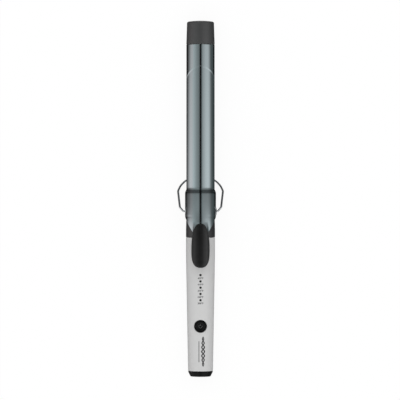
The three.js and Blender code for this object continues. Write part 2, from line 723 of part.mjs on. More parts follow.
function handle() {
  const tube = turned([...handleOutline(0), ...handleOutline(-handleWall).toReversed()], 40);
  const half = box(60, 400, 40, 0, -100, 20 + gap / 2);
  const inside = handleEnvelope(-handleWall / 2);
  const bossTop = (y) => barZ(bossRadius, gap, 30, 0, y).intersect(inside);
  const bossBottom = (y) => barZ(headBossRadius, -30, -gap, 0, y).intersect(inside);

  let top = tube.intersect(half);
  for (const y of shellScrews) top = top.add(bossTop(y)).subtract(barZ(screwShank + gap, -1, 8, 0, y));
  for (const y of boardScrews) {
    const post = barZ(bossRadius - 0.4, boardHeight + gap, 30, 0, y).intersect(inside);
    top = top.add(post).subtract(barZ(screwShank + gap, boardHeight, boardHeight + 4.4, 0, y));
  }
  for (let i = 0; i < ledCount; i++)
    top = top.subtract(barZ(windowRadius + gap, 5, 20, 0, ledFirst - i * ledPitch));
  top = top.subtract(barZ(bezelRadius + gap, 5, 20, 0, buttonCentre, 32));
  const grooveRear = springTip - 4;
  const groove = box(
    2 * (springHalfWidth + 2 * gap), handleFront + 1 - grooveRear, collarRadius,
    0, (handleFront + 1 + grooveRear) / 2, springFloor + collarRadius / 2,
  );
  top = top.subtract(groove);
  piece(iron, "handle_top_shell", top, "handle");

  const headDepth = 3;
  let bottom = tube.intersect(half.mirror([0, 0, 1]));
  for (const y of shellScrews) {
    const seat = -handleRadius(y) + headDepth + screwHead.height;
    bottom = bottom
      .add(bossBottom(y))
      .subtract(barZ(screwShank + gap, -30, 0, 0, y))
      .subtract(barZ(screwHead.radius + gap, -30, seat, 0, y));
  }
  piece(iron, "handle_bottom_shell", bottom, "handle");

  for (const [i, y] of shellScrews.entries()) {
    const seat = -handleRadius(y) + headDepth + screwHead.height - gap;
    const screw = piece(iron, `shell_screw_${i ? "rear" : "front"}`, screwSolid(7.4 - seat), "steel");
    screw.rotation.x = Math.PI / 2;
    screw.position.set(0, y, seat);
  }
}

// ---- Controls ----

function controls() {
  const rear = handleRear + boardRear;
  const middle = (boardFront + rear) / 2;
  const half = Math.sqrt((handleRadius(rear) - handleWall) ** 2 - boardHeight ** 2) - gap;
  let board = box(2 * half, boardFront - rear, boardThickness, 0, middle, boardHeight - boardThickness / 2);
  for (const y of boardScrews) board = board.subtract(barZ(screwShank + gap, 0, 20, 0, y));
  piece(iron, "circuit_board", board, "board");
  for (const [i, y] of boardScrews.entries()) {
    const screw = piece(iron, `board_screw_${i ? "rear" : "front"}`, screwSolid(5), "steel");
    screw.rotation.x = Math.PI / 2;
    screw.position.set(0, y, boardHeight - boardThickness - gap);
  }

  const chipTop = boardHeight + gap + 1.1;
  const barBottom = chipTop + gap;
  const barTop = barBottom + 1.8;
  const barLength = (ledCount - 1) * ledPitch + 5;
  const barCentre = ledFirst - ((ledCount - 1) * ledPitch) / 2;
  let guide = box(3.6, barLength, barTop - barBottom, 0, barCentre, (barTop + barBottom) / 2);
  for (let i = 0; i < ledCount; i++) {
    const y = ledFirst - i * ledPitch;
    guide = guide.add(barZ(windowRadius, barBottom + 0.2, handleRadius(y) - 0.08, 0, y, 12));
    piece(iron, `led_${i + 1}`, box(2, 3.2, 1.1, 0, y, chipTop - 0.55), "ceramic");
  }
  piece(iron, "light_guide", guide, "smoked");

  const shellOuter = handleRadius(buttonCentre);
  const switchTop = boardHeight + gap + switchHeight;
  const plungerTop = switchTop + 0.9;
  const capBottom = plungerTop + gap;
  const flangeTop = capBottom + 1;
  const bezelInner = bezelRadius - bezelWidth;
  const bezel = barZ(bezelRadius, flangeTop + gap, shellOuter + 2, 0, buttonCentre, 32)
    .subtract(barZ(bezelInner, 0, 30, 0, buttonCentre, 32))
    .intersect(handleEnvelope(bezelProud));
  piece(iron, "button_bezel", bezel, "black");

  const button = new THREE.Group(); // travels into the handle
  iron.add(button);
  const capRadius = bezelInner - gap;
  const cap = barZ(capRadius, capBottom, shellOuter + 2, 0, buttonCentre, 32)
    .intersect(handleEnvelope(bezelProud / 2))
    .add(barZ(capRadius + buttonFlange, capBottom, flangeTop, 0, buttonCentre, 32));
  piece(button, "power_button", cap, "black");
  const plungerRadius = 1.7;
  const plungerFoot = switchTop - 1.1;
  piece(button, "switch_plunger", barZ(plungerRadius, plungerFoot, plungerTop, 0, buttonCentre), "black");
  const well = barZ(plungerRadius + gap, plungerFoot - buttonTravel - gap, 20, 0, buttonCentre);
  const body = box(switchSide, switchSide, switchHeight, 0, buttonCentre, switchTop - switchHeight / 2);
  piece(iron, "tact_switch", body.subtract(well), "steel");

  const under = boardHeight - boardThickness - gap;
  piece(iron, "triac", box(10, 14, 4.5, 0, -78, under - 2.25), "black");
  piece(iron, "filter_capacitor", box(13, 18, 6, 0, -98, under - 3), "ceramic");
  piece(iron, "microcontroller", box(5, 7, 1.6, 0, -128, under - 0.8), "black");
}

// ---- Cord end ----

function cordEnd() {
  const spigot = handleRearRadius - handleWall - gap;
  const rim = handleRear - gap;
  const rimRadius = handleRearRadius - 0.1;
  const faceRadius = handleRearRadius - endChamfer;
  const spigotFront = rim + 8;
  const cavity = swivelFlangeRadius + gap;
  const neckHole = swivelNeckRadius + gap;
  const cap = turned(
    [[neckHole, endFace], [faceRadius - 0.4, endFace], [faceRadius, endFace + 0.3], [rimRadius, rim - 0.8],
      [rimRadius, rim], [spigot, rim], [spigot, spigotFront], [cavity, spigotFront],
      [cavity, endFace + endLip], [neckHole, endFace + endLip]],
    36,
  );
  piece(iron, "end_cap", cap, "black");

  const swivel = new THREE.Group(); // turns about the barrel axis
  iron.add(swivel);
  const flangeRear = endFace + endLip + gap;
  const flangeFront = flangeRear + 2.4;
  const boreEnd = flangeFront + 3.4;
  const shaftFront = handleRear + swivelFront;
  const ringPlaces = ringCentres.map((y) => handleRear + y);
  const socket = turned([
    [cordBore, endFace + gap / 2], [swivelNeckRadius, endFace + gap / 2], [swivelNeckRadius, flangeRear],
    [swivelFlangeRadius, flangeRear], [swivelFlangeRadius, flangeFront], [swivelShaftRadius, flangeFront],
    [swivelShaftRadius, shaftFront], [leadBore, shaftFront], [leadBore, boreEnd], [cordBore, boreEnd],
  ], 24);
  piece(swivel, "cord_swivel", socket, "black");
  const ringOuter = swivelShaftRadius + gap + ringWall;
  for (const [i, y] of ringPlaces.entries()) {
    const band = ring(swivelShaftRadius + gap, ringOuter, y - ringWidth / 2, y + ringWidth / 2, 16);
    piece(swivel, `slip_ring_${i ? "neutral" : "live"}`, band, "brass");
  }

  const seatY = flangeFront + gap;
  const retainer = ring(swivelShaftRadius + 2 * gap, swivelFlangeRadius, seatY, seatY + 1.4, 20);
  piece(iron, "swivel_retainer", retainer, "steel");

  const plateFront = handleRear + carrierFront;
  const plateRear = plateFront - carrierThickness;
  const plateRadius = handleRadius(plateFront) - handleWall - gap - 0.1;
  const bladeHeight = ringOuter + gap;
  const bladeThickness = 0.5;
  const bladeWidth = 4;
  let carrier = ring(swivelShaftRadius + 1, plateRadius, plateRear, plateFront, 24);
  for (const [i, y] of ringPlaces.entries()) {
    const side = i ? -1 : 1;
    const blade = new THREE.Shape();
    const rear = y - ringWidth / 2;
    const front = plateFront + 2;
    const lift = bladeHeight + 1.2;
    blade.moveTo(rear, side * bladeHeight);
    blade.lineTo(y + ringWidth, side * bladeHeight);
    blade.lineTo(plateRear - 1, side * lift);
    blade.lineTo(front, side * lift);
    blade.lineTo(front, side * (lift + bladeThickness));
    blade.lineTo(plateRear - 1, side * (lift + bladeThickness));
    blade.lineTo(y + ringWidth, side * (bladeHeight + bladeThickness));
    blade.lineTo(rear, side * (bladeHeight + bladeThickness));
    blade.closePath();
    piece(iron, `contact_blade_${i ? "neutral" : "live"}`, pushedX(blade, bladeWidth / 2, 0), "brass");
    const slotHeight = bladeThickness + 2 * gap;
    carrier = carrier.subtract(
      box(bladeWidth + 2 * gap, carrierThickness * 3, slotHeight,
        0, plateFront - carrierThickness / 2, side * (lift + bladeThickness / 2)),
    );
  }
  piece(iron, "contact_carrier", carrier, "ceramic");
  return { front: plateFront + 2 + gap, height: bladeHeight + 1.2 + bladeThickness / 2 };
}

// ---- Leads ----

function leads(sensors, blades) {
  const boardUnder = boardHeight - boardThickness - gap - leadRadius;
  const run = (name, points, radius, finish) => {
    const places = points.map((p) => new THREE.Vector3(...p));
    const route = new THREE.CatmullRomCurve3(places, false, "centripetal");
    piece(iron, name, wireAlong(route, radius, 14, 6), finish);
  };
  const aside = headBossRadius + leadRadius + 2 * gap;
  const boardEnd = boardFront - 4;
  run("heater_lead_live", [
    [sensors.side, sensors.fuseRear - gap, 0], [2.5, 8, 0], [3.4, -24, 0], [aside, -50, 1],
    [aside, boardEnd, boardUnder],
  ], leadRadius, "redLead");
  run("heater_lead_neutral", [
    [0, sensors.front, 0], [0, 22, 0.4], [-2.6, 4, 1.6], [-3.4, -24, 1.6], [-aside, -50, 2],
    [-aside, boardEnd, boardUnder],
  ], leadRadius, "blueLead");
  run("sensor_lead", [
    [-sensors.side, sensors.thermistorRear - gap, 0], [-2.5, 22, -1.8], [-2.4, 4, -2.6], [-3, -24, -2.6],
    [-aside, -52, -1.6], [-aside - 2.4, boardEnd, boardUnder],
  ], sensorLeadRadius, "ceramic");
  const far = handleRear + boardRear + 4;
  run("supply_lead_live", [
    [0, blades.front + gap, blades.height], [aside, blades.front + 5, 3.2], [aside, far - 8, 1.4],
    [aside, far, boardUnder],
  ], leadRadius, "redLead");
  run("supply_lead_neutral", [
    [0, blades.front + gap, -blades.height], [-aside, blades.front + 5, -3.2], [-aside, far - 8, 0.6],
    [-aside, far, boardUnder],
  ], leadRadius, "blueLead");
}

barrel();
coolTip();
const sensors = heater();
hinge();
collar();
lever();
restStand();
handle();
controls();
const blades = cordEnd();
leads(sensors, blades);

const part = new THREE.Group();
part.add(iron);

export default part;
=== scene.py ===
import json
import math

import bpy
from mathutils import Matrix, Vector


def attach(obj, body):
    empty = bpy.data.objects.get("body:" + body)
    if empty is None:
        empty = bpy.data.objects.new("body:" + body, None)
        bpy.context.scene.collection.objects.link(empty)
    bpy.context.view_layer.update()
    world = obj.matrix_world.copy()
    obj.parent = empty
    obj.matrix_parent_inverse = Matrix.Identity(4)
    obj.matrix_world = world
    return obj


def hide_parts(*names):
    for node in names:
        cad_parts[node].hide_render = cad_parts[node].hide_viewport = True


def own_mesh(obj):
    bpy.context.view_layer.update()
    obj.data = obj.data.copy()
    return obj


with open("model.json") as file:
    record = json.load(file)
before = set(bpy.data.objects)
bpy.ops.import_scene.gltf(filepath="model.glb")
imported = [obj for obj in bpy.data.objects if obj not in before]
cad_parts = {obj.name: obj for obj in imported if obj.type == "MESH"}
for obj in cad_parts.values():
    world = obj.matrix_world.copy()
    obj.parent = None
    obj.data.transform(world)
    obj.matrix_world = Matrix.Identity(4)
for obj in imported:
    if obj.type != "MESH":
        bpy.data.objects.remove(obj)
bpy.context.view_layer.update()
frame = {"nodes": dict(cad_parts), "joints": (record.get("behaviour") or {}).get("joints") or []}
nodes = frame["nodes"]
joints = {joint["name"]: joint for joint in frame["joints"]}
hinge = Vector(joints["clamp_hinge"]["pos_m"])  # the clamp's axis; sizes below are millimetres from it
acrossTurn = (0, math.pi / 2, 0)
print("frame loaded:", len(nodes), "nodes")


def at(x, y, z):
    return hinge + Vector((x, y, z)) * 0.001


def smooth(t):
    t = min(1, max(0, t))
    return t * t * (3 - 2 * t)


def clamp01(t):
    return min(1, max(0, t))


# choosing, cutting and finishing a piece


def deselectAll():
    if bpy.context.object and bpy.context.object.mode != "OBJECT":
        bpy.ops.object.mode_set(mode="OBJECT")
    bpy.ops.object.select_all(action="DESELECT")


def pick(piece):
    deselectAll()
    bpy.context.view_layer.objects.active = piece
    piece.select_set(True)


def editAll(piece):
    pick(piece)
    bpy.ops.object.mode_set(mode="EDIT")
    bpy.ops.mesh.select_all(action="SELECT")


def editDone():
    bpy.ops.object.mode_set(mode="OBJECT")


def settle(piece):
    # the piece's place goes into its mesh
    pick(piece)
    bpy.ops.object.transform_apply(location=True, rotation=True, scale=True)


def closeUp(piece, merge=2e-6):
    editAll(piece)
    bpy.ops.mesh.remove_doubles(threshold=merge)
    bpy.ops.mesh.normals_make_consistent(inside=False)
    editDone()


def useModifier(piece, kind, **values):
    pick(piece)
    bpy.ops.object.modifier_add(type=kind)
    made = piece.modifiers[-1]
    for key, value in values.items():
        setattr(made, key, value)
    bpy.ops.object.modifier_apply(modifier=made.name)


def roundEdges(piece, width, segments=3, angle=32):
    useModifier(piece, "BEVEL", width=width * 0.001, segments=segments, limit_method="ANGLE",
                angle_limit=math.radians(angle), miter_outer="MITER_ARC")


def cutWith(piece, cutter, how="DIFFERENCE"):
    useModifier(piece, "BOOLEAN", operation=how, object=cutter, solver="EXACT")
    bpy.data.objects.remove(cutter)


def bored(piece, radius, depth, place, vertices=48, turn=(0, 0, 0), how="DIFFERENCE"):
    # a round hole, or a round post with how="UNION"
    bpy.ops.mesh.primitive_cylinder_add(vertices=vertices, radius=radius * 0.001, depth=depth * 0.001,
                                        location=place, rotation=turn)
    cutWith(piece, bpy.context.object, how)


def block(place, sides, spin=0):
    bpy.ops.mesh.primitive_cube_add(size=0.001, location=place, rotation=(0, 0, spin))
    made = bpy.context.object
    made.scale = sides
    return made


def tubed(piece, radius, resolution):
    # a drawn line becomes round wire
    pick(piece)
    bpy.ops.object.convert(target="CURVE")
    piece.data.bevel_depth = radius * 0.001
    piece.data.bevel_resolution = resolution
    piece.data.use_fill_caps = True
    bpy.ops.object.convert(target="MESH")


def raised(piece, place):
    # closes a grid into a solid whose second face is placed point by point
    editAll(piece)
    bpy.ops.mesh.extrude_region_move(TRANSFORM_OT_translate={"value": (0, 0, 0.001)})
    editDone()
    for vertex in piece.data.vertices:
        if vertex.select:
            spot = (vertex.co - hinge) * 1000
            vertex.co = at(spot.x, spot.y, place(spot.x, spot.y))
    closeUp(piece, 1e-7)


def joined(name, parts):
    deselectAll()
    for part in parts:
        part.select_set(True)
    bpy.context.view_layer.objects.active = parts[0]
    bpy.ops.object.join()
    parts[0].name = name
    return parts[0]


def copied(piece, name, mirrorX=False):
    twin = piece.copy()
    twin.data = piece.data.copy()
    twin.name = name
    bpy.context.scene.collection.objects.link(twin)
    if mirrorX:
        twin.data.transform(Matrix.Scale(-1, 4, (1, 0, 0)))
        closeUp(twin)
    return twin


def finishPiece(piece, body, material, stands=(), angle=35):
    settle(piece)
    bpy.ops.object.shade_smooth_by_angle(angle=math.radians(angle))
    piece.data.materials.clear()
    piece.data.materials.append(material)
    piece.data.name = piece.name
    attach(piece, body)
    for node in stands:
        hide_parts(node)
    return piece


# outlines and grids


def drawLine(name, points):
    # one vertex pulled from point to point
    deselectAll()
    bpy.ops.mesh.primitive_plane_add(size=0.001, location=points[0])
    piece = bpy.context.object
    piece.name = name
    bpy.ops.object.mode_set(mode="EDIT")
    bpy.ops.mesh.select_all(action="SELECT")
    bpy.ops.mesh.merge(type="CENTER")
    for last, point in zip(points, points[1:]):
        bpy.ops.mesh.extrude_vertices_move(TRANSFORM_OT_translate={"value": point - last})
    editDone()
    return piece


def spun(name, points, centre, axis, steps=128):
    piece = drawLine(name, points)
    editAll(piece)
    bpy.ops.mesh.spin(steps=steps, angle=math.tau, center=centre, axis=axis)
    editDone()
    closeUp(piece)
    return piece


def turnedY(name, outline, steps=160):
    # outline of (radius, y), turned about the barrel's axis
    return spun(name, [at(r, y, 0) for r, y in outline], hinge, (0, 1, 0), steps)


def turnedZ(name, outline, x, y, steps=96):
    # outline of (radius, z), turned about an upright axis
    return spun(name, [at(x + r, y, z) for r, z in outline], at(x, y, 0), (0, 0, 1), steps)


def turnedX(name, outline, steps=64):
    # outline of (radius, x), turned about the hinge axis
    return spun(name, [at(x, 0, r) for r, x in outline], hinge, (1, 0, 0), steps)


def closed(outline):
    return list(outline) + [outline[0]]


def fillet(corner, before, after, size, count=5):
    # rounds one corner of an outline
    c, b, a = (Vector(p) for p in (corner, before, after))
    start = c + (b - c).normalized() * size
    end = c + (a - c).normalized() * size
    return [tuple((1 - t) ** 2 * start + 2 * t * (1 - t) * c + t * t * end)
            for t in (i / count for i in range(count + 1))]


def gridOver(name, rows, columns, place):
    # a grid whose every point is placed by its row and its share across, -1 to 1
    deselectAll()
    bpy.ops.mesh.primitive_grid_add(x_subdivisions=columns, y_subdivisions=len(rows) - 1, size=2)
    piece = bpy.context.object
    piece.name = name
    for vertex in piece.data.vertices:
        row = rows[round((vertex.co.y + 1) / 2 * (len(rows) - 1))]
        vertex.co = at(*place(row, vertex.co.x))
    piece.data.update()
    return piece


# finishes


def rampNode(tree, stops, low, high, source, tint=None):
    spread = tree.nodes.new("ShaderNodeMapRange")
    spread.inputs["From Min"].default_value = low
    spread.inputs["From Max"].default_value = high
    tree.links.new(source, spread.inputs["Value"])
    ramp = tree.nodes.new("ShaderNodeValToRGB")
    bar = ramp.color_ramp
    while len(bar.elements) > 1:
        bar.elements.remove(bar.elements[-1])
    for i, (place, level) in enumerate(stops):
        spot = (place - low) / (high - low)
        element = bar.elements[0] if i == 0 else bar.elements.new(spot)
        element.position = spot
        shade = (level, level, level) if tint is None else tint(place, level)
        element.color = (*shade, 1)
    tree.links.new(spread.outputs["Result"], ramp.inputs["Fac"])
    return ramp.outputs["Color"]


def mathNode(tree, operation, *sources):
    node = tree.nodes.new("ShaderNodeMath")
    node.operation = operation
    for i, source in enumerate(sources):
        if isinstance(source, (int, float)):
            node.inputs[i].default_value = source
        else:
            tree.links.new(source, node.inputs[i])
    return node.outputs[0]


def mixNode(tree, factor, first, second, blend="MIX"):
    node = tree.nodes.new("ShaderNodeMixRGB")
    node.blend_type = blend
    for i, source in enumerate((factor, first, second)):
        if isinstance(source, (int, float, tuple)):
            node.inputs[i].default_value = source
        else:
            tree.links.new(source, node.inputs[i])
    return node.outputs[0]


def paint(name, settings):
    material = bpy.data.materials.new(name)
    material.use_nodes = True
    tree = material.node_tree
    shader = tree.nodes["Principled BSDF"]
    for socket, value in settings.get("shader", {}).items():
        shader.inputs[socket].default_value = value
    add = tree.nodes.new
    link = tree.links.new
    coords = add("ShaderNodeTexCoord")
    mapping = add("ShaderNodeMapping")
    mapping.inputs["Scale"].default_value = settings.get("stretch", (1, 1, 1))
    link(coords.outputs["Object"], mapping.inputs["Vector"])

    tone = add("ShaderNodeTexNoise")
    tone.inputs["Scale"].default_value = settings["toneScale"]
    tone.inputs["Detail"].default_value = 4
    link(mapping.outputs["Vector"], tone.inputs["Vector"])
    ramp = add("ShaderNodeValToRGB")
    ramp.color_ramp.elements[0].position = 0.3
    ramp.color_ramp.elements[1].position = 0.7
    ramp.color_ramp.elements[0].color = (*settings["tones"][0], 1)
    ramp.color_ramp.elements[1].color = (*settings["tones"][1], 1)
    link(tone.outputs["Fac"], ramp.inputs["Fac"])
    colour = ramp.outputs["Color"]
    if "paintedRimLight" in settings:
        # painted light and shade: lighter rims either side of a darker middle, the right rim lightest,
        # standing in for how the dished pad catches the light
        place = add("ShaderNodeSeparateXYZ")
        link(coords.outputs["Object"], place.inputs[0])
        spots = [(x * 0.001, level) for x, level in settings["paintedRimLight"]]
        colour = mixNode(tree, 1.0, colour, rampNode(tree, spots, -0.01, 0.01, place.outputs["X"]), "MULTIPLY")
    link(colour, shader.inputs["Base Color"])

    gloss = add("ShaderNodeTexNoise")
    gloss.inputs["Scale"].default_value = settings["glossScale"]
    gloss.inputs["Detail"].default_value = 3
    link(mapping.outputs["Vector"], gloss.inputs["Vector"])
    spread = add("ShaderNodeMapRange")
    spread.inputs["To Min"].default_value = settings["gloss"][0]
    spread.inputs["To Max"].default_value = settings["gloss"][1]
    link(gloss.outputs["Fac"], spread.inputs["Value"])
    link(spread.outputs["Result"], shader.inputs["Roughness"])

    grain = add("ShaderNodeTexVoronoi" if settings.get("grain") == "pebble" else "ShaderNodeTexNoise")
    grain.inputs["Scale"].default_value = settings["grainScale"]
    link(mapping.outputs["Vector"], grain.inputs["Vector"])
    bump = add("ShaderNodeBump")
    bump.inputs["Strength"].default_value = settings["relief"]
    bump.inputs["Distance"].default_value = settings.get("reliefDepth", 0.00005)
    link(grain.outputs[0], bump.inputs["Height"])
    link(bump.outputs["Normal"], shader.inputs["Normal"])
    return material


finishes = {
    "barrel_metal": dict(  # titanium-toned hard coat, drawn along the barrel
        tones=((0.42, 0.478, 0.492), (0.44, 0.502, 0.518)), toneScale=60, stretch=(1, 0.05, 1),
        gloss=(0.07, 0.12), glossScale=90, grainScale=900, relief=0.03,
        shader={"Metallic": 1.0}),
    "tip_plastic": dict(
        tones=((0.022, 0.022, 0.0225), (0.026, 0.026, 0.0265)), toneScale=180,
        gloss=(0.48, 0.54), glossScale=300, grain="pebble", grainScale=2600, relief=0.18,
        shader={"Specular IOR Level": 1.0, "IOR": 1.62}),
    "pad_plastic": dict(
        tones=((0.034, 0.034, 0.0345), (0.04, 0.04, 0.0405)), toneScale=200,
        # painted highlight and shade: the pad's rims are multiplied lighter and its middle darker, brightest
        # on the right
        paintedRimLight=((-9, 0.85), (-7, 0.8), (-4, 0.35), (-1, 0.2), (2, 0.3), (4.5, 0.75), (7.5, 1.15), (9, 0.9)),
        gloss=(0.42, 0.52), glossScale=260, grain="pebble", grainScale=3000, relief=0.22,
        shader={"Specular IOR Level": 0.25}),
    "collar_plastic": dict(
        tones=((0.014, 0.014, 0.015), (0.018, 0.018, 0.0195)), toneScale=160,
        gloss=(0.36, 0.46), glossScale=240, grain="pebble", grainScale=2600, relief=0.2,
        shader={"Specular IOR Level": 0.9, "IOR": 1.55}),
    "handle_plastic": dict(
        tones=((0.595, 0.595, 0.593), (0.615, 0.615, 0.613)), toneScale=130,
        gloss=(0.36, 0.46), glossScale=260, grain="pebble", grainScale=2200, relief=0.1,
        shader={"Specular IOR Level": 0.45}),
    "cap_plastic": dict(
        tones=((0.002, 0.002, 0.0021), (0.0035, 0.0035, 0.0036)), toneScale=140,
        gloss=(0.12, 0.2), glossScale=200, grainScale=1400, relief=0.04,
        shader={"Specular IOR Level": 0.16}),
    "button_plastic": dict(
        tones=((0.003, 0.003, 0.0032), (0.005, 0.005, 0.0052)), toneScale=200,
        gloss=(0.2, 0.32), glossScale=300, grainScale=1800, relief=0.06,
        shader={"Specular IOR Level": 0.22}),
    "stand_chrome": dict(
        tones=((0.8, 0.81, 0.825), (0.87, 0.88, 0.895)), toneScale=220,
        gloss=(0.1, 0.17), glossScale=400, grainScale=1500, relief=0.05,
        shader={"Metallic": 1.0}),
    "hinge_metal": dict(
        tones=((0.5, 0.51, 0.53), (0.6, 0.61, 0.63)), toneScale=400,
        gloss=(0.14, 0.26), glossScale=700, grainScale=2600, relief=0.08,
        shader={"Metallic": 1.0}),
    "window_plastic": dict(
        tones=((0.016, 0.016, 0.017), (0.024, 0.024, 0.025)), toneScale=300,
        gloss=(0.1, 0.18), glossScale=500, grainScale=2400, relief=0.04,
        shader={"Coat Weight": 0.4, "Coat Roughness": 0.08}),
    "spring_steel": dict(
        tones=((0.3, 0.3, 0.31), (0.4, 0.4, 0.41)), toneScale=160, stretch=(1, 0.12, 1),
        gloss=(0.24, 0.36), glossScale=300, grainScale=1600, relief=0.1,
        shader={"Metallic": 1.0}),
    "screw_steel": dict(
        tones=((0.42, 0.42, 0.42), (0.54, 0.54, 0.53)), toneScale=500,
        gloss=(0.26, 0.4), glossScale=800, grainScale=3000, relief=0.12,
        shader={"Metallic": 1.0}),
    "spreader_aluminium": dict(
        tones=((0.52, 0.53, 0.54), (0.62, 0.63, 0.64)), toneScale=120, stretch=(1, 0.1, 1),
        gloss=(0.3, 0.42), glossScale=260, grainScale=1200, relief=0.12,
        shader={"Metallic": 1.0}),
    "heater_ceramic": dict(
        tones=((0.68, 0.66, 0.61), (0.76, 0.74, 0.7)), toneScale=160,
        gloss=(0.62, 0.78), glossScale=300, grainScale=1800, relief=0.25,
        shader={"Specular IOR Level": 0.35}),
    "mica": dict(
        tones=((0.36, 0.25, 0.13), (0.48, 0.36, 0.2)), toneScale=260, stretch=(1, 1, 6),
        gloss=(0.4, 0.6), glossScale=380, grainScale=1300, relief=0.3,
        shader={"Specular IOR Level": 0.5}),
    "contact_brass": dict(
        tones=((0.56, 0.36, 0.1), (0.66, 0.45, 0.16)), toneScale=300,
        gloss=(0.22, 0.36), glossScale=500, grainScale=2000, relief=0.1,
        shader={"Metallic": 1.0}),
    "board_laminate": dict(
        tones=((0.012, 0.1, 0.04), (0.02, 0.14, 0.06)), toneScale=420,
        gloss=(0.34, 0.48), glossScale=500, grainScale=1700, relief=0.16,
        shader={"Coat Weight": 0.3, "Coat Roughness": 0.2}),
    "part_plastic": dict(
        tones=((0.02, 0.02, 0.021), (0.034, 0.034, 0.035)), toneScale=300,
        gloss=(0.44, 0.58), glossScale=400, grain="pebble", grainScale=2600, relief=0.16,
        shader={"Specular IOR Level": 0.4}),
    "lead_red": dict(
        tones=((0.34, 0.03, 0.022), (0.42, 0.045, 0.032)), toneScale=260,
        gloss=(0.44, 0.56), glossScale=300, grainScale=1500, relief=0.12,
        shader={"Subsurface Weight": 0.03}),
    "lead_blue": dict(
        tones=((0.025, 0.07, 0.22), (0.04, 0.1, 0.28)), toneScale=260,
        gloss=(0.44, 0.56), glossScale=300, grainScale=1500, relief=0.12,
        shader={"Subsurface Weight": 0.03}),
    "lead_white": dict(
        tones=((0.62, 0.61, 0.58), (0.7, 0.69, 0.66)), toneScale=260,
        gloss=(0.46, 0.58), glossScale=300, grainScale=1500, relief=0.12,
        shader={"Subsurface Weight": 0.03}),
    "print_ink": dict(
        tones=((0.02, 0.02, 0.021), (0.032, 0.032, 0.033)), toneScale=900,
        gloss=(0.5, 0.62), glossScale=900, grainScale=4000, relief=0.1,
        shader={"Specular IOR Level": 0.3}),
    "fine_print_ink": dict(
        tones=((0.1, 0.1, 0.103), (0.13, 0.13, 0.133)), toneScale=900,
        gloss=(0.5, 0.62), glossScale=900, grainScale=4000, relief=0.1,
        shader={"Specular IOR Level": 0.3}),
}
finishes["clamp_metal"] = dict(finishes["barrel_metal"], toneScale=70)
materials = {name: paint(name, settings) for name, settings in finishes.items()}
print("finishes mixed:", len(materials))

# barrel

barrelSize = dict(radius=16.25, wall=1.3, front=191.7, rear=-9.9, rim=0.7, bushHole=3.3)


def makeBarrel(size):
    inner = size["radius"] - size["wall"]
    stations = (size["rear"], size["rear"] + size["rim"], -6, 6, 60, 120,
                size["front"] - size["rim"], size["front"])
    outline = [(inner, size["rear"])] + [(size["radius"], y) for y in stations]
    outline += [(inner, size["front"]), (inner, 6), (inner, -6)]
    piece = turnedY("barrelTube", closed(outline), 192)
    roundEdges(piece, 0.3)
    bored(piece, size["bushHole"], 50, hinge, 48, acrossTurn)
    return finishPiece(piece, "iron", materials["barrel_metal"], ["barrel_tube"], 30)


makeBarrel(barrelSize)

# cool tip

tipSize = dict(seam=192, seamRadius=16.3, topRadius=15.5, length=25.5, dome=1.6, edge=1.7, wall=2, lip=0.35,
               neck=14.95)


def makeCoolTip(size):
    shoulder = size["seam"] + size["length"]
    top = shoulder + size["dome"]
    side = [(size["seamRadius"] - size["lip"], size["seam"]), (size["seamRadius"], size["seam"] + size["lip"])]
    crown = fillet((size["topRadius"], shoulder + 0.35), (size["seamRadius"], size["seam"]),
                   (size["topRadius"] * 0.72, shoulder + 0.35 + size["dome"] * 0.42), size["edge"], 8)
    dome = [(size["topRadius"] * (1 - t), 0) for t in (0.3, 0.45, 0.6, 0.75, 0.9, 1)]
    reach = crown[-1]
    dome = [(r, top - (top - reach[1]) * (r / reach[0]) ** 2) for r, _ in dome if r < reach[0]]
    inner = [(0, shoulder - size["wall"]), (size["topRadius"] - size["wall"], shoulder - size["wall"]),
             (size["seamRadius"] - size["wall"], size["seam"] + 6.3), (size["neck"], size["seam"] + 6.3),
             (size["neck"], size["seam"])]
    piece = turnedY("coolTip", inner + side + crown + dome, 160)
    return finishPiece(piece, "iron", materials["tip_plastic"], ["cool_tip"], 40)


makeCoolTip(tipSize)
print("barrel and tip turned")

# clamp

clampSize = dict(
    radius=16.55, saddleRadius=17.15, thickness=0.7, tip=167, rounding=13.4, halfAngle=68, stepFront=26.5,
    stepLength=6, tabRear=-61, tabAngle=24, bushHole=3.3,
    saddle=[(28, 0, 0), (25, 0.14, 0.1), (22.2, 1.1, 0.62), (19.9, 2.06, 0.13), (5, 3.7, 0.09),
            (-11, 4.8, 0.045), (-24, 5, 0)],  # y, rise, slope towards the handle
    lever=[(-12, 0, 0), (-30, 4.4, 0.33), (-61, 11.4, 0.17)],
    leverBlend=6, lip=0.22, lipWidth=1.8,
    edge=[(26.5, 68), (25, 70), (23.5, 75), (22, 82), (20, 91), (16.5, 95), (11.5, 99), (4.5, 109), (-1, 110),
          (-4.8, 102), (-7.3, 79), (-9.8, 66), (-13, 57), (-16.6, 48), (-20, 39), (-23, 31.5), (-25, 26),
          (-27, 24)],
)


def profileAt(profile, y):
    if y >= profile[0][0]:
        return 0
    for (y0, z0, s0), (y1, z1, s1) in zip(profile, profile[1:]):
        if y >= y1:
            break
    run = y0 - y1
    t = (y0 - y) / run
    if t > 1:
        return z1 + s1 * (y1 - y)
    rise = (2 * t ** 3 - 3 * t ** 2 + 1) * z0 + (3 * t ** 2 - 2 * t ** 3) * z1
    return rise + run * ((t ** 3 - 2 * t ** 2 + t) * s0 + (t ** 3 - t ** 2) * s1)


def leverShare(angle):
    size = clampSize
    return smooth((size["tabAngle"] + size["leverBlend"] - abs(angle)) / size["leverBlend"])


def clampLift(y, angle=0):
    return profileAt(clampSize["saddle"], y) + profileAt(clampSize["lever"], y) * leverShare(angle)


def leverSlope(y):
    return clampLift(y - 0.5) - clampLift(y + 0.5)


def clampRadius(y):
    size = clampSize
    step = smooth((size["stepFront"] - y) / size["stepLength"])
    return size["radius"] + (size["saddleRadius"] - size["radius"]) * step


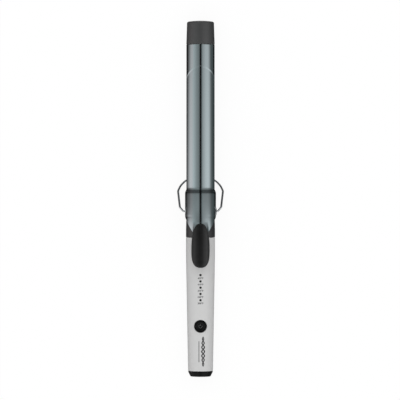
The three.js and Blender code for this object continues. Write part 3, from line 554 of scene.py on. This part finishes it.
def tipLip(angle, y):
    # the rounded end turns up a little along its rim
    size = clampSize
    rim = size["tip"] - size["rounding"] * (angle / size["halfAngle"]) ** 2
    fade = smooth((y - size["tip"] + size["rounding"] + 4) / 4)
    return size["lip"] * clamp01(1 - (rim - y) / size["lipWidth"]) ** 1.6 * fade


def sheetPoint(angle, y, height=0):
    a = math.radians(angle)
    r = clampRadius(y) + height + tipLip(angle, y)
    return r * math.sin(a), y, r * math.cos(a) + clampLift(y, angle) * smooth((90 - abs(angle)) / 30)


def sheetInner(x, y):
    return math.sqrt(clampRadius(y) ** 2 - x * x) + clampLift(y)


def saddleInner(x, y):
    angle = math.degrees(math.asin(x / clampRadius(y)))
    past = smooth((clampSize["edge"][-1][0] + 7 - y) / 7)
    return sheetInner(x, y) - profileAt(clampSize["lever"], y) * (1 - leverShare(angle)) * (1 - past)


def clampRows(size):
    tip = [(size["tip"] - size["rounding"] * t * t, size["halfAngle"] * t)
           for t in (0.05, 0.14, 0.24, 0.33, 0.41, 0.49, 0.57, 0.64, 0.71, 0.77, 0.83, 0.89, 0.95, 1)]
    tongue = [(y, size["halfAngle"]) for y in (149, 140, 120, 96, 72, 52, 38, 32, 29, 27.5)]
    front = size["edge"][-1][0]
    tab = [(front + (size["tabRear"] - front) * t, size["tabAngle"] - 6 * max(0, 3 * t - 2))
           for t in (i / 10 for i in range(1, 11))]
    edge = []
    for (y0, a0), (y1, a1) in zip(size["edge"], size["edge"][1:]):
        edge += [(y0, a0), ((y0 + y1) / 2, (a0 + a1) / 2)]
    return tip + tongue + edge + [size["edge"][-1]] + tab


def makeClampPlate(size):
    rows = clampRows(size)[::-1]
    piece = gridOver("clampPlate", rows, 40, lambda row, across: sheetPoint(row[1] * across, row[0]))
    closeUp(piece)
    useModifier(piece, "SUBSURF", levels=2, render_levels=2)
    useModifier(piece, "SOLIDIFY", thickness=size["thickness"] * 0.001, offset=1, use_even_offset=True)
    bored(piece, size["bushHole"], 60, hinge, 64, acrossTurn)
    roundEdges(piece, 0.33, 3, 50)
    return finishPiece(piece, "clamp", materials["clamp_metal"], ["clamp_plate"], 40)


makeClampPlate(clampSize)

padSize = dict(front=-14, rear=-64.4, halfWidth=10.5, height=4.3, dish=0.9, rim=0.2, beadHeight=0.25,
               ribPitch=1.5, ribHeight=0.16, ribFrom=-39, ribTo=-59, sheetAngle=25.5, sheetEnd=-62)


def padShare(y):
    return clamp01((padSize["front"] - y) / (padSize["front"] - padSize["rear"]))


def padWidth(y):
    t = padShare(y)
    front = clamp01(1 - (1 - clamp01(t / 0.56)) ** 2) ** 0.37
    rear = clamp01(1 - clamp01(2 * t - 1) ** 4) ** 0.42
    return padSize["halfWidth"] * max(0.04, front * rear)


def padTop(across, y):
    size = padSize
    t = padShare(y)
    x = padWidth(y) * across
    off = abs(across)
    ends = math.sqrt(clamp01(1 - abs(2 * t - 1) ** 5)) * 0.92 + 0.08
    inward = smooth((1 - abs(2 * t - 1)) / 0.35)
    dish = size["dish"] * smooth((1 - size["rim"] - off) / 0.3) * inward
    top = sheetInner(x, y) + size["height"] * ends * math.sqrt(max(0, 1 - off ** 3.4)) - dish
    bead = size["beadHeight"] * math.exp(-((off - 0.8) / 0.07) ** 2) * inward
    field = smooth((size["ribFrom"] - y) / 4) * smooth((y - size["ribTo"]) / 4) * smooth((0.66 - off) / 0.12)
    ribs = size["ribHeight"] * field * (0.5 + 0.5 * math.cos(math.tau * x / size["ribPitch"])) ** 2
    low = size["beadHeight"] + size["ribHeight"] * field
    return max(top, sheetInner(x, y) + 0.3) + 0.4 - low + bead + ribs


def makeThumbPad(size):
    count = 110
    shares = [0.0015 + 0.997 * (0.5 - 0.5 * math.cos(math.pi * i / count)) for i in range(count + 1)]
    rows = [size["front"] + (size["rear"] - size["front"]) * t for t in shares][::-1]

    def under(y, across):
        x = padWidth(y) * math.sin(across * math.pi / 2)
        sheetHalf = size["sheetAngle"] * math.pi / 180 * clampRadius(y)
        covered = clamp01((sheetHalf - abs(x)) / 0.5) if y > size["sheetEnd"] else 0
        return x, y, saddleInner(x, y) + 0.15 + 0.65 * covered

    def upper(x, y):
        across = max(-1, min(1, x / padWidth(y)))
        floor = under(y, 2 / math.pi * math.asin(across))[2]
        return max(padTop(across, y), floor + 0.25)

    piece = gridOver("thumbPad", rows, 92, under)
    raised(piece, upper)
    return finishPiece(piece, "clamp", materials["pad_plastic"], ["thumb_pad"], 60)


makeThumbPad(padSize)

coverSize = dict(front=-30.5, rear=-63.4, depth=2.2, inset=0.6, screwWell=2.7)
leverScrews = (-37, -54)


def underLever(y, depth):
    # a point below the lever's sheet, square to its slope
    tilt = math.atan(leverSlope(y))
    return at(0, y - depth * math.sin(tilt), sheetInner(0, y) - depth * math.cos(tilt))


def makeLeverCover(size):
    count = 40
    rows = [size["front"] + (size["rear"] - size["front"]) * i / count for i in range(count + 1)][::-1]

    def halfWidth(y):
        share = clamp01((size["front"] - y) / (size["front"] - size["rear"]) / 0.12)
        nose = math.sqrt(clamp01(1 - (1 - share) ** 2)) * 0.6 + 0.4
        return max(0.6, (padWidth(y) - size["inset"]) * nose)

    def lower(y, across):
        x = halfWidth(y) * math.sin(across * math.pi / 2)
        edge = math.sqrt(max(0, 1 - abs(math.sin(across * math.pi / 2)) ** 4))
        return x, y, sheetInner(x, y) - 0.6 - (size["depth"] - 0.45) * edge

    piece = gridOver("leverCover", rows, 32, lower)
    raised(piece, lambda x, y: sheetInner(x, y) - 0.3)
    for y in leverScrews:
        tilt = math.atan(leverSlope(y))
        bored(piece, size["screwWell"], 6, underLever(y, 4.5), 40, (-tilt, 0, 0))
    return finishPiece(piece, "clamp", materials["collar_plastic"], ["lever_cover"], 45)


makeLeverCover(coverSize)
print("clamp pressed, pad moulded")

# screws

screwSize = dict(radius=2.4, height=1.5, shank=1.15, slot=0.42, slotReach=1.35, slotDepth=0.7)


def makeScrew(name, size, length, place, turn, body, node):
    r, h = size["radius"], size["height"]
    head = [(0, h), (r * 0.45, h * 0.98), (r * 0.8, h * 0.8), (r * 0.97, h * 0.45), (r, h * 0.2), (r, 0)]
    shank = [(size["shank"], 0), (size["shank"], -length + size["shank"]), (0, -length)]
    piece = spun(name, [Vector((x, 0, z)) * 0.001 for x, z in head + shank], (0, 0, 0), (0, 0, 1), 48)
    for spin in (0, math.pi / 2):
        blade = (2 * size["slotReach"], 2 * size["slot"], 2 * size["slotDepth"])
        cutWith(piece, block((0, 0, h * 0.001), blade, spin))
    roundEdges(piece, 0.06, 2, 50)
    settle(piece)
    piece.data.transform(Matrix.Translation(place) @ Matrix.Rotation(turn, 4, "X"))
    return finishPiece(piece, body, materials["screw_steel"], [node], 40)


handleSize = dict(front=-30.2, rear=-183.6, radius=16.7, taper=2.4, straight=20, wall=2.4, lip=0.45,
                  screws=(-58, -155.5), wellRadius=2.7, wellDepth=3, boss=3.8, groove=4.4, grooveRear=-54,
                  grooveFloor=14.8, seamGap=0.3)


def handleRadius(y):
    size = handleSize
    start = size["front"] - size["straight"]
    return size["radius"] - size["taper"] * max(0, (start - y) / (start - size["rear"]))


for part, y in zip(("Front", "Rear"), leverScrews):
    tilt = math.atan(leverSlope(y))
    small = dict(screwSize, radius=2.2, height=1)
    makeScrew("leverScrew" + part, small, 3.6, underLever(y, 1.65), math.pi - tilt, "clamp",
              "lever_screw_" + part.lower())
for part, y in zip(("Front", "Rear"), handleSize["screws"]):
    seat = -handleRadius(y) + handleSize["wellDepth"] + screwSize["height"] - 0.3
    makeScrew("shellScrew" + part, screwSize, 7.4 - seat, at(0, y, seat), math.pi, "iron",
              "shell_screw_" + part.lower())
print("screws made")

# hinge bushes and rest stand

bushSize = dict(bore=1.5, radius=3, flange=4.3, inner=10.85, outer=18.15, flangeThickness=0.5)


def makeBushes(size):
    edge = size["outer"] + size["flangeThickness"]
    bore, flange = size["bore"], size["flange"]
    outline = [(bore, size["inner"]), (size["radius"], size["inner"]), (size["radius"], size["outer"]),
               (flange, size["outer"]), (flange, edge - 0.2), (flange - 0.12, edge - 0.06),
               (flange - 0.3, edge), (bore + 0.25, edge), (bore, edge - 0.2)]
    right = turnedX("hingeBushRight", closed(outline))
    left = copied(right, "hingeBushLeft", mirrorX=True)
    finishPiece(right, "iron", materials["hinge_metal"], ["hinge_bush_right"], 40)
    finishPiece(left, "iron", materials["hinge_metal"], ["hinge_bush_left"], 40)


makeBushes(bushSize)

standSize = dict(radius=1.13, lean=math.atan2(17.75, 37.8),
                 corners=[(12.35, 0), (19.85, 0), (23.75, 4.6), (25.95, 23.4), (23.15, 29.4), (18.25, 34.6),
                          (12.75, 37.8)],
                 rounding=[0.9, 1.3, 1.4, 2.6, 3, 4])


def makeStand(size):
    flat = size["corners"] + [(-x, y) for x, y in size["corners"][::-1]]
    corners = [Vector((x, y / math.cos(size["lean"]), 0)) for x, y in flat]
    rounding = size["rounding"] + size["rounding"][::-1]
    path = [corners[0]]
    for i, reach in enumerate(rounding, 1):
        corner = corners[i]
        start = corner + (corners[i - 1] - corner).normalized() * reach
        end = corner + (corners[i + 1] - corner).normalized() * reach
        for t in (k / 10 for k in range(11)):
            path.append((1 - t) ** 2 * start + 2 * t * (1 - t) * corner + t * t * end)
    path.append(corners[-1])
    turn = Matrix.Rotation(-size["lean"], 3, "X")
    points = [at(*(turn @ p)) for p in path]
    piece = drawLine("standWire", points)
    tubed(piece, size["radius"], 6)
    closeUp(piece)
    return finishPiece(piece, "stand", materials["stand_chrome"], ["stand_wire"], 50)


makeStand(standSize)
print("hinge and stand made")

# collar and leaf spring

collarSize = dict(front=-10.2, rear=-29.9, bore=14.95, frontRadius=16.45, radius=16.7, taper=4.6,
                  pocket=4.4, pocketFront=-19.5, pocketFloor=14.8, spigot=14, spigotRear=-37.9)


def makeCollar(size):
    outline = [(size["bore"], size["front"]), (size["frontRadius"] - 0.25, size["front"]),
               (size["frontRadius"], size["front"] - 0.25),
               (size["radius"] - 0.15, size["front"] - size["taper"]),
               (size["radius"], size["front"] - size["taper"] - 6), (size["radius"], size["rear"] + 0.25),
               (size["radius"] - 0.25, size["rear"]), (size["spigot"], size["rear"]),
               (size["spigot"], size["spigotRear"]), (size["spigot"] - 1.6, size["spigotRear"]),
               (size["spigot"] - 1.6, -28.4), (size["bore"] - 4, -20), (size["bore"] - 4, -16.3),
               (size["bore"], -16.3)]
    piece = turnedY("noseCollar", closed(outline), 160)
    length = size["pocketFront"] - size["spigotRear"] + 1
    middle = at(0, size["pocketFront"] - length / 2, size["pocketFloor"] + 5)
    cutWith(piece, block(middle, (2 * size["pocket"], length, 10)))
    return finishPiece(piece, "iron", materials["collar_plastic"], ["nose_collar"], 35)


makeCollar(collarSize)

springSize = dict(halfWidth=3.8, thickness=0.5, foot=15.1, front=-19.8, bend=-27, tip=-50, keep=0.115)


def makeClampSpring(size):
    half, tip, bend = size["halfWidth"], size["tip"], size["bend"]
    top = sheetInner(half, tip) - 0.15 - coverSize["depth"] - 0.3 - size["thickness"]
    run = (tip - bend) / 3
    ends = [Vector((bend, size["foot"])), Vector((bend + run, size["foot"])),
            Vector((tip - run, top + leverSlope(tip) * run)), Vector((tip, top))]
    bow = []
    for t in (i / 24 for i in range(25)):
        a, b, c, d = ends
        bow.append((1 - t) ** 3 * a + 3 * t * (1 - t) ** 2 * b + 3 * t * t * (1 - t) * c + t ** 3 * d)
    rows = ([Vector((size["front"], size["foot"]))] + bow)[::-1]
    piece = gridOver("clampSpring", rows, 6, lambda row, across: (half * across, row.x, row.y))
    closeUp(piece)
    useModifier(piece, "SOLIDIFY", thickness=size["thickness"] * 0.001, offset=1)
    roundEdges(piece, 0.1, 2, 60)
    finishPiece(piece, "iron", materials["spring_steel"], ["clamp_spring"], 35)
    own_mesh(piece)
    return piece


makeClampSpring(springSize)
print("collar and spring made")

# handle

ledSize = dict(first=-73.1, pitch=7.2, count=5, radius=1.1, gap=0.3, foot=9.6, barHeight=9.4, barWidth=3.6,
               barThickness=1.8)
buttonSize = dict(y=-131.8, bezel=7.1, bezelWidth=1.35, proud=0.25, gap=0.3, capBase=11.4)


def makeHandle(size):
    outer = [(handleRadius(y), y) for y in (size["front"] - 0.6, size["front"] - size["straight"], -80, -105,
                                            -131, -157, size["rear"] + 0.6)]
    front = [(handleRadius(size["front"]) - size["lip"], size["front"]),
             (handleRadius(size["front"]) - 0.12, size["front"] - 0.15)]
    rear = [(handleRadius(size["rear"]) - 0.12, size["rear"] + 0.15),
            (handleRadius(size["rear"]) - size["lip"], size["rear"])]
    stations = (size["rear"], -105, size["front"] - size["straight"], size["front"])
    inner = [(handleRadius(y) - size["wall"], y) for y in stations]
    whole = turnedY("handleTopShell", closed(front + outer + rear + inner), 160)
    lower = copied(whole, "handleBottomShell")
    for piece, side in ((whole, 1), (lower, -1)):
        editAll(piece)
        bpy.ops.mesh.bisect(plane_co=at(0, 0, size["seamGap"] / 2 * side), plane_no=(0, 0, side),
                            use_fill=True, clear_inner=True)
        editDone()
        closeUp(piece)

    for i in range(ledSize["count"]):
        y = ledSize["first"] - i * ledSize["pitch"]
        bored(whole, ledSize["radius"] + ledSize["gap"], 12, at(0, y, 14), 40)
    bored(whole, buttonSize["bezel"] + buttonSize["gap"], 16, at(0, buttonSize["y"], 14), 96)
    length = size["front"] + 1 - size["grooveRear"]
    middle = at(0, size["grooveRear"] + length / 2, size["grooveFloor"] + 5)
    cutWith(whole, block(middle, (2 * size["groove"], length, 10)))

    for y in size["screws"]:
        floor = -handleRadius(y) + size["wellDepth"] + screwSize["height"]
        bossHeight = handleRadius(y) - 2
        bored(lower, size["boss"], bossHeight, at(0, y, -1 - bossHeight / 2), how="UNION")
        bored(lower, size["wellRadius"], 12, at(0, y, floor - 6))
    for piece in (whole, lower):
        roundEdges(piece, 0.1, 2, 60)
    finishPiece(whole, "iron", materials["handle_plastic"], ["handle_top_shell"], 30)
    finishPiece(lower, "iron", materials["handle_plastic"], ["handle_bottom_shell"], 30)


makeHandle(handleSize)


def makeWindows(size):
    lenses = []
    for i in range(size["count"]):
        y = size["first"] - i * size["pitch"]
        top = handleRadius(y) - 0.08
        r = size["radius"]
        outline = [(0, size["foot"]), (r, size["foot"]), (r, top - 0.35), (r * 0.93, top - 0.16),
                   (r * 0.7, top - 0.05), (0, top)]
        lenses.append(turnedZ("lens", outline, 0, y, 40))
    reach = (size["count"] - 1) * size["pitch"]
    bar = block(at(0, size["first"] - reach / 2, size["barHeight"]),
                (size["barWidth"], reach + 5, size["barThickness"]))
    settle(bar)
    roundEdges(bar, 0.3, 3)
    piece = joined("lightGuide", lenses + [bar])
    return finishPiece(piece, "iron", materials["window_plastic"], ["light_guide"], 40)


makeWindows(ledSize)


def draped(piece, y0):
    # lets a flat-topped piece follow the round of the handle
    for vertex in piece.data.vertices:
        x, y, z = (vertex.co - hinge) * 1000
        if z > buttonSize["capBase"]:
            share = clamp01((z - buttonSize["capBase"]) / 2)
            r = handleRadius(y)
            drop = math.sqrt(r * r - x * x) - handleRadius(y0)
            vertex.co = at(x, y, z + share * drop)
    piece.data.update()


def makeButton(size):
    top = handleRadius(size["y"]) + size["proud"]
    inner = size["bezel"] - size["bezelWidth"]
    foot = size["capBase"] + 1.3
    outline = [(inner, foot), (size["bezel"], foot), (size["bezel"], top - 0.5),
               (size["bezel"] - 0.08, top - 0.22),
               (size["bezel"] - 0.3, top - 0.04), (size["bezel"] - 0.55, top), (inner + 0.5, top),
               (inner + 0.2, top - 0.08), (inner, top - 0.35)]
    bezel = turnedZ("buttonBezel", closed(outline), 0, size["y"], 128)
    draped(bezel, size["y"])
    finishPiece(bezel, "iron", materials["button_plastic"], ["button_bezel"], 40)

    r = inner - size["gap"]
    face = handleRadius(size["y"]) + size["proud"] / 2
    rise = [(0, face - 0.55), (1.3, face - 0.53), (2.6, face - 0.45), (3.7, face - 0.3), (4.4, face - 0.12),
            (4.75, face - 0.03), (5.0, face), (r - 0.2, face - 0.06), (r - 0.05, face - 0.18),
            (r, face - 0.35)]
    flange = r + 0.85
    outline = [(0, size["capBase"]), (flange, size["capBase"]), (flange, size["capBase"] + 1),
               (r, size["capBase"] + 1)] + rise[::-1]
    cap = turnedZ("powerButton", outline, 0, size["y"], 128)
    draped(cap, size["y"])
    finishPiece(cap, "button", materials["button_plastic"], ["power_button"], 45)

    # the stand-by sign: an open ring and a bar
    bar = block(at(0, size["y"] + 1.75, face - 0.5), (0.42, 1.9, 0.12))
    settle(bar)
    points = [at(1.9 * math.sin(a), size["y"] + 1.9 * math.cos(a), face - 0.5)
              for a in (math.radians(38 + 284 * i / 48) for i in range(49))]
    arc = drawLine("arc", points)
    tubed(arc, 0.21, 2)
    settle(arc)
    sign = joined("standBySign", [bar, arc])
    draped(sign, size["y"])
    finishPiece(sign, "button", materials["fine_print_ink"], [], 40)


makeButton(buttonSize)
print("handle and controls made")

# cord end

endSize = dict(rear=-183.6, radius=14.3, length=6.4, chamfer=2.75, neck=6.6, bore=8.9, spigot=11.8,
               spigotLength=8)


def makeEndCap(size):
    rim = size["rear"] - 0.3
    face = size["rear"] - size["length"]
    rimRadius = size["radius"] - 0.1
    faceRadius = size["radius"] - size["chamfer"]
    side = fillet((rimRadius, rim - 0.7), (rimRadius, rim), (faceRadius, face), 0.6, 4)
    foot = fillet((faceRadius - 0.05, face), (rimRadius, rim - 0.7), (size["neck"], face), 0.8, 5)
    spigot = rim + size["spigotLength"]
    inside = [(size["neck"], face + 0.3), (size["neck"], face + 2.8), (size["bore"], face + 2.8),
              (size["bore"], spigot), (size["spigot"], spigot), (size["spigot"], rim)]
    lead = [(rimRadius - 0.2, rim), (rimRadius, rim - 0.15)]
    mouth = [(size["neck"] + 0.5, face), (size["neck"] + 0.15, face + 0.08)]
    outline = inside + lead + side + foot + mouth
    piece = turnedY("endCap", closed(outline), 160)
    return finishPiece(piece, "iron", materials["cap_plastic"], ["end_cap"], 35)


makeEndCap(endSize)


swivelSize = dict(face=-189.85, mouth=3.5, radius=6.3, flange=8.6, flangeRear=-186.9, flangeFront=-184.5,
                  spindle=4.6, bore=2.1, front=-172, mouthFloor=-181.1)


def makeSwivel(size):
    face, radius = size["face"], size["radius"]
    outline = [(size["mouth"], face + 0.3), (size["mouth"] + 0.3, face), (radius - 0.4, face),
               (radius - 0.12, face + 0.1), (radius, face + 0.35), (radius, size["flangeRear"]),
               (size["flange"], size["flangeRear"]), (size["flange"], size["flangeFront"]),
               (size["spindle"], size["flangeFront"]), (size["spindle"], size["front"]),
               (size["bore"], size["front"]), (size["bore"], size["mouthFloor"]),
               (size["mouth"], size["mouthFloor"])]
    piece = turnedY("cordSwivel", closed(outline), 96)
    return finishPiece(piece, "swivel", materials["cap_plastic"], ["cord_swivel"], 35)


makeSwivel(swivelSize)
print("cord end made")

# printing on the handle

printSize = dict(lift=0.02, text=2.7, weight=0.1, below=3.7, heats=(450, 410, 375, 340, 300))


def wrapped(piece, lift):
    # lays a flat shape drawn in x and y on the round of the handle
    for vertex in piece.data.vertices:
        x, y, z = vertex.co.x * 1000, (vertex.co.y - hinge.y) * 1000, vertex.co.z * 1000
        r = handleRadius(y) + lift + z
        a = x / handleRadius(y)
        vertex.co = at(r * math.sin(a), y, r * math.cos(a))
    piece.data.update()


def makeLabels(size):
    made = []
    for i, heat in enumerate(size["heats"]):
        deselectAll()
        y = ledSize["first"] - i * ledSize["pitch"] - size["below"]
        bpy.ops.object.text_add(location=(0, hinge.y + y * 0.001, 0))
        label = bpy.context.object
        label.data.body = f"{heat}°F"
        label.data.size = size["text"] * 0.001
        label.data.align_x = "CENTER"
        label.data.align_y = "CENTER"
        label.data.extrude = 0.00001
        label.data.offset = size["weight"] * 0.001
        label.data.space_character = 1.02
        bpy.ops.object.convert(target="MESH")
        settle(label)
        made.append(label)
    piece = joined("scalePrint", made)
    wrapped(piece, size["lift"])
    closeUp(piece, 1e-7)
    finishPiece(piece, "iron", materials["fine_print_ink"], [], 40)


makeLabels(printSize)

ornamentSize = dict(x=3, front=-143.5, rear=-178, sway=1.6, waves=7, width=1.6, lineX=-1.8, lineFront=-149,
                    lineRear=-173, lineWidth=0.85, lift=0.02)


def flatRibbon(name, rows, columns):
    # rows of (x, y, half width), drawn flat at the height that wrapped() reads as none
    piece = gridOver(name, rows, columns, lambda row, across: (row[0] + row[2] * across, row[1], 0))
    piece.data.transform(Matrix.Translation((0, 0, -hinge.z)))
    return piece


def makeOrnament(size):
    # a plaited pair of ribbons and a fine line beside them
    parts = []
    for phase in (0, math.pi):
        count = 144
        rows = []
        for i in range(count + 1):
            t = i / count
            y = size["rear"] + (size["front"] - size["rear"]) * t
            swell = math.sin(math.pi * t) ** 0.5
            x = size["x"] + size["sway"] * swell * math.sin(math.tau * size["waves"] / 2 * t + phase)
            rows.append((x, y, size["width"] / 2 * (0.35 + 0.65 * swell)))

        parts.append(flatRibbon("ribbon", rows, 3))
    reach = size["lineFront"] - size["lineRear"]
    rows = [(size["lineX"], size["lineRear"] + reach * i / 20, size["lineWidth"] / 2) for i in range(21)]
    fine = flatRibbon("fineLine", rows, 2)
    mark = joined("waveOrnament", parts)
    for piece, ink in ((mark, "print_ink"), (fine, "fine_print_ink")):
        wrapped(piece, size["lift"])
        closeUp(piece, 1e-7)
        useModifier(piece, "SOLIDIFY", thickness=0.00002, offset=1)
        finishPiece(piece, "iron", materials[ink], [], 40)


makeOrnament(ornamentSize)
print("printing laid on")

# the pieces inside keep their CAD shape

nodeFinish = {
    "tip_plug": "heater_ceramic", "barrel_seat": "heater_ceramic", "heater_plate": "heater_ceramic",
    "thermistor": "heater_ceramic", "contact_carrier": "heater_ceramic", "filter_capacitor": "heater_ceramic",
    "heat_spreader_top": "spreader_aluminium", "heat_spreader_bottom": "spreader_aluminium",
    "mica_sheet_top": "mica", "mica_sheet_bottom": "mica", "circuit_board": "board_laminate",
    "slip_ring_live": "contact_brass", "slip_ring_neutral": "contact_brass",
    "contact_blade_live": "contact_brass", "contact_blade_neutral": "contact_brass",
    "microcontroller": "part_plastic", "triac": "part_plastic", "switch_plunger": "part_plastic",
    "heater_lead_live": "lead_red", "supply_lead_live": "lead_red", "heater_lead_neutral": "lead_blue",
    "supply_lead_neutral": "lead_blue", "sensor_lead": "lead_white", "spreader_spring_left": "spring_steel",
    "spreader_spring_right": "spring_steel", "swivel_retainer": "spring_steel",
}
for name, node in nodes.items():
    if node.hide_render:
        continue
    finish = nodeFinish.get(name, "lead_white" if name.startswith("led_") else "screw_steel")
    node.data.materials.clear()
    node.data.materials.append(materials[finish])
print("inner pieces finished")

# studio

studio = dict(floorHalf=4, fill=0.29, key=1.07, floorTone=0.75, floorShadow=0.09)
skyStops = [  # signed angle from straight up, in degrees, and what polished metal sees there
    (-180, 0.08), (-150, 0.09), (-129, 0.13), (-113, 0.35), (-100, 0.7), (-88, 0.94), (-77, 0.95), (-68, 0.9),
    (-58, 0.88), (-49, 0.74), (-41, 0.64), (-32, 0.49), (-24, 0.43), (-16, 0.36), (-10, 0.28), (-7, 0.17),
    (-4.7, 0), (4.7, 0), (7, 0.14), (10, 0.28), (16, 0.56), (24, 0.675), (32, 0.77), (41, 0.92), (49, 0.94),
    (58, 0.985), (68, 0.91), (77, 0.68), (86, 0.34), (100, 0.17), (129, 0.08), (180, 0.04),
]
saddleStops = [  # the same for the clamp's sloping saddle
    (-180, 0.04), (-128, 0.1), (-113, 0.45), (-100, 0.55), (-90, 0.66), (-80, 0.95), (-70, 1.05), (-53, 1.08),
    (-37, 1.03), (-18, 1.0), (-11, 0.85), (-6, 0.2), (-4.5, 0), (4.5, 0), (6, 0.2), (11, 0.8), (18, 1.0),
    (37, 1.04), (53, 1.06), (62, 0.98), (70, 0.84), (80, 0.6), (90, 0.42), (100, 0.36), (113, 0.38),
    (128, 0.1), (180, 0.04),
]
slopeStops = [  # slope along the barrel of a face that shows this part of the sky from straight above
    (-1.5, 0.9), (-0.3, 0.95), (-0.03, 1.06), (0.004, 1.04), (0.03, 0.84), (0.045, 0.75), (0.06, 0.58),
    (0.08, 0.47), (0.1, 0.39), (0.125, 0.36), (0.14, 0.34), (0.2, 0.31), (0.3, 0.22), (0.42, 0.12),
    (0.5, 0.1), (0.7, 0.1),
    (0.9, 0.1), (1.5, 0.1),
]
endStops = [  # the same slope, and how much of the end panels shows there
    (-1.2, 0.4), (-0.2, 0.5), (-0.1, 0), (0.76, 0), (0.84, 1), (1.2, 1),
]
panelStops = [  # signed angle in radians, and how bright the end panels are there
    (-3, 0.12), (-1.6, 0.25), (-1, 0.45), (-0.6, 1.1), (0.6, 1.1), (1, 0.45), (1.6, 0.25), (3, 0.12),
]


def makeWorld():
    world = bpy.data.worlds.new("studioSky")
    bpy.context.scene.world = world
    world.use_nodes = True
    tree = world.node_tree
    backdrop = tree.nodes["Background"]
    coords = tree.nodes.new("ShaderNodeTexCoord")
    split = tree.nodes.new("ShaderNodeSeparateXYZ")
    tree.links.new(coords.outputs["Generated"], split.inputs[0])
    lift = mathNode(tree, "ADD", split.outputs["Z"], 1.0002)
    angle = mathNode(tree, "MULTIPLY", mathNode(tree, "ARCTAN2", split.outputs["X"], lift), 2)

    def skyTint(place, level):
        # warm far left, cool near the middle and far right
        reds = ((-60, 1.06), (0, 0.94), (12, 0.9), (95, 0.98), (181, 0.87))
        red = next(share for limit, share in reds if math.degrees(place) < limit)
        return level * red, level, level * 1.01

    stops = [(math.radians(a), level) for a, level in skyStops]
    band = rampNode(tree, stops, -math.pi, math.pi, angle, skyTint)
    saddle = [(math.radians(a), level) for a, level in saddleStops]
    lower = rampNode(tree, saddle, -math.pi, math.pi, angle, skyTint)
    along = mathNode(tree, "DIVIDE", split.outputs["Y"], lift)
    leaning = rampNode(tree, [(0, 0), (0.05, 0.05), (0.09, 1), (1, 1)], 0, 1, along)
    slope = rampNode(tree, slopeStops, -1.5, 1.5, along)
    gloss = mixNode(tree, 1.0, mixNode(tree, leaning, band, lower), slope, "MULTIPLY")
    # pale panels past both ends of the barrel
    ends = rampNode(tree, endStops, -1.2, 1.2, along)
    panel = rampNode(tree, panelStops, -3, 3, angle)
    gloss = mixNode(tree, ends, gloss, panel)
    light = tree.nodes.new("ShaderNodeLightPath")
    fill, key = studio["fill"], studio["key"]
    soft = rampNode(tree, [(-1, fill), (0, fill), (1, fill + key)], -1, 1, split.outputs["Z"])
    seen = mixNode(tree, light.outputs["Is Glossy Ray"], soft, gloss)
    clear = mathNode(tree, "MAXIMUM", light.outputs["Is Camera Ray"], light.outputs["Is Transmission Ray"])
    shown = mixNode(tree, clear, seen, (1, 1, 1, 1))
    tree.links.new(shown, backdrop.inputs["Color"])
    backdrop.inputs["Strength"].default_value = 1.0


makeWorld()


def makeFloor():
    deselectAll()
    bpy.ops.mesh.primitive_plane_add(size=2 * studio["floorHalf"], location=(0, 0, 0))
    floor = bpy.context.object
    floor.name = "studioFloor"
    material = bpy.data.materials.new("paleFloor")
    material.use_nodes = True
    tree = material.node_tree
    tree.nodes.remove(tree.nodes["Principled BSDF"])
    output = tree.nodes["Material Output"]
    light = tree.nodes.new("ShaderNodeLightPath")
    coords = tree.nodes.new("ShaderNodeTexCoord")
    matte = tree.nodes.new("ShaderNodeBsdfDiffuse")
    speckle = tree.nodes.new("ShaderNodeTexNoise")
    speckle.inputs["Scale"].default_value = 30
    tree.links.new(coords.outputs["Object"], speckle.inputs["Vector"])
    tone = studio["floorTone"]
    mottled = rampNode(tree, [(0.3, tone * 0.99), (0.7, tone)], 0, 1, speckle.outputs["Fac"])
    lit = tree.nodes.new("ShaderNodeEmission")
    bright = mathNode(tree, "MAXIMUM", light.outputs["Is Camera Ray"], light.outputs["Is Transmission Ray"])
    tree.links.new(mixNode(tree, bright, mottled, (1, 1, 1, 1)), matte.inputs["Color"])
    share = mathNode(tree, "MULTIPLY", bright, 1 - studio["floorShadow"])
    mixed = tree.nodes.new("ShaderNodeMixShader")
    tree.links.new(share, mixed.inputs[0])
    tree.links.new(matte.outputs[0], mixed.inputs[1])
    tree.links.new(lit.outputs[0], mixed.inputs[2])
    # polished metal looks through the floor at the world's own lower half
    through = tree.nodes.new("ShaderNodeMixShader")
    tree.links.new(light.outputs["Is Glossy Ray"], through.inputs[0])
    tree.links.new(mixed.outputs[0], through.inputs[1])
    tree.links.new(tree.nodes.new("ShaderNodeBsdfTransparent").outputs[0], through.inputs[2])
    tree.links.new(through.outputs[0], output.inputs["Surface"])
    floor.data.materials.append(material)


makeFloor()

cameraSize = dict(distance=3.15, lens=246.3, x=-0.00058, y=-0.0016)


def makeCamera(size):
    deselectAll()
    bpy.ops.object.camera_add(location=(size["x"], size["y"], hinge.z + size["distance"]), rotation=(0, 0, 0))
    camera = bpy.context.object
    camera.data.lens = size["lens"]
    camera.data.sensor_width = 36
    camera.data.clip_end = 100
    bpy.context.scene.camera = camera


makeCamera(cameraSize)
bpy.context.scene.view_settings.view_transform = "Standard"
print("studio set")
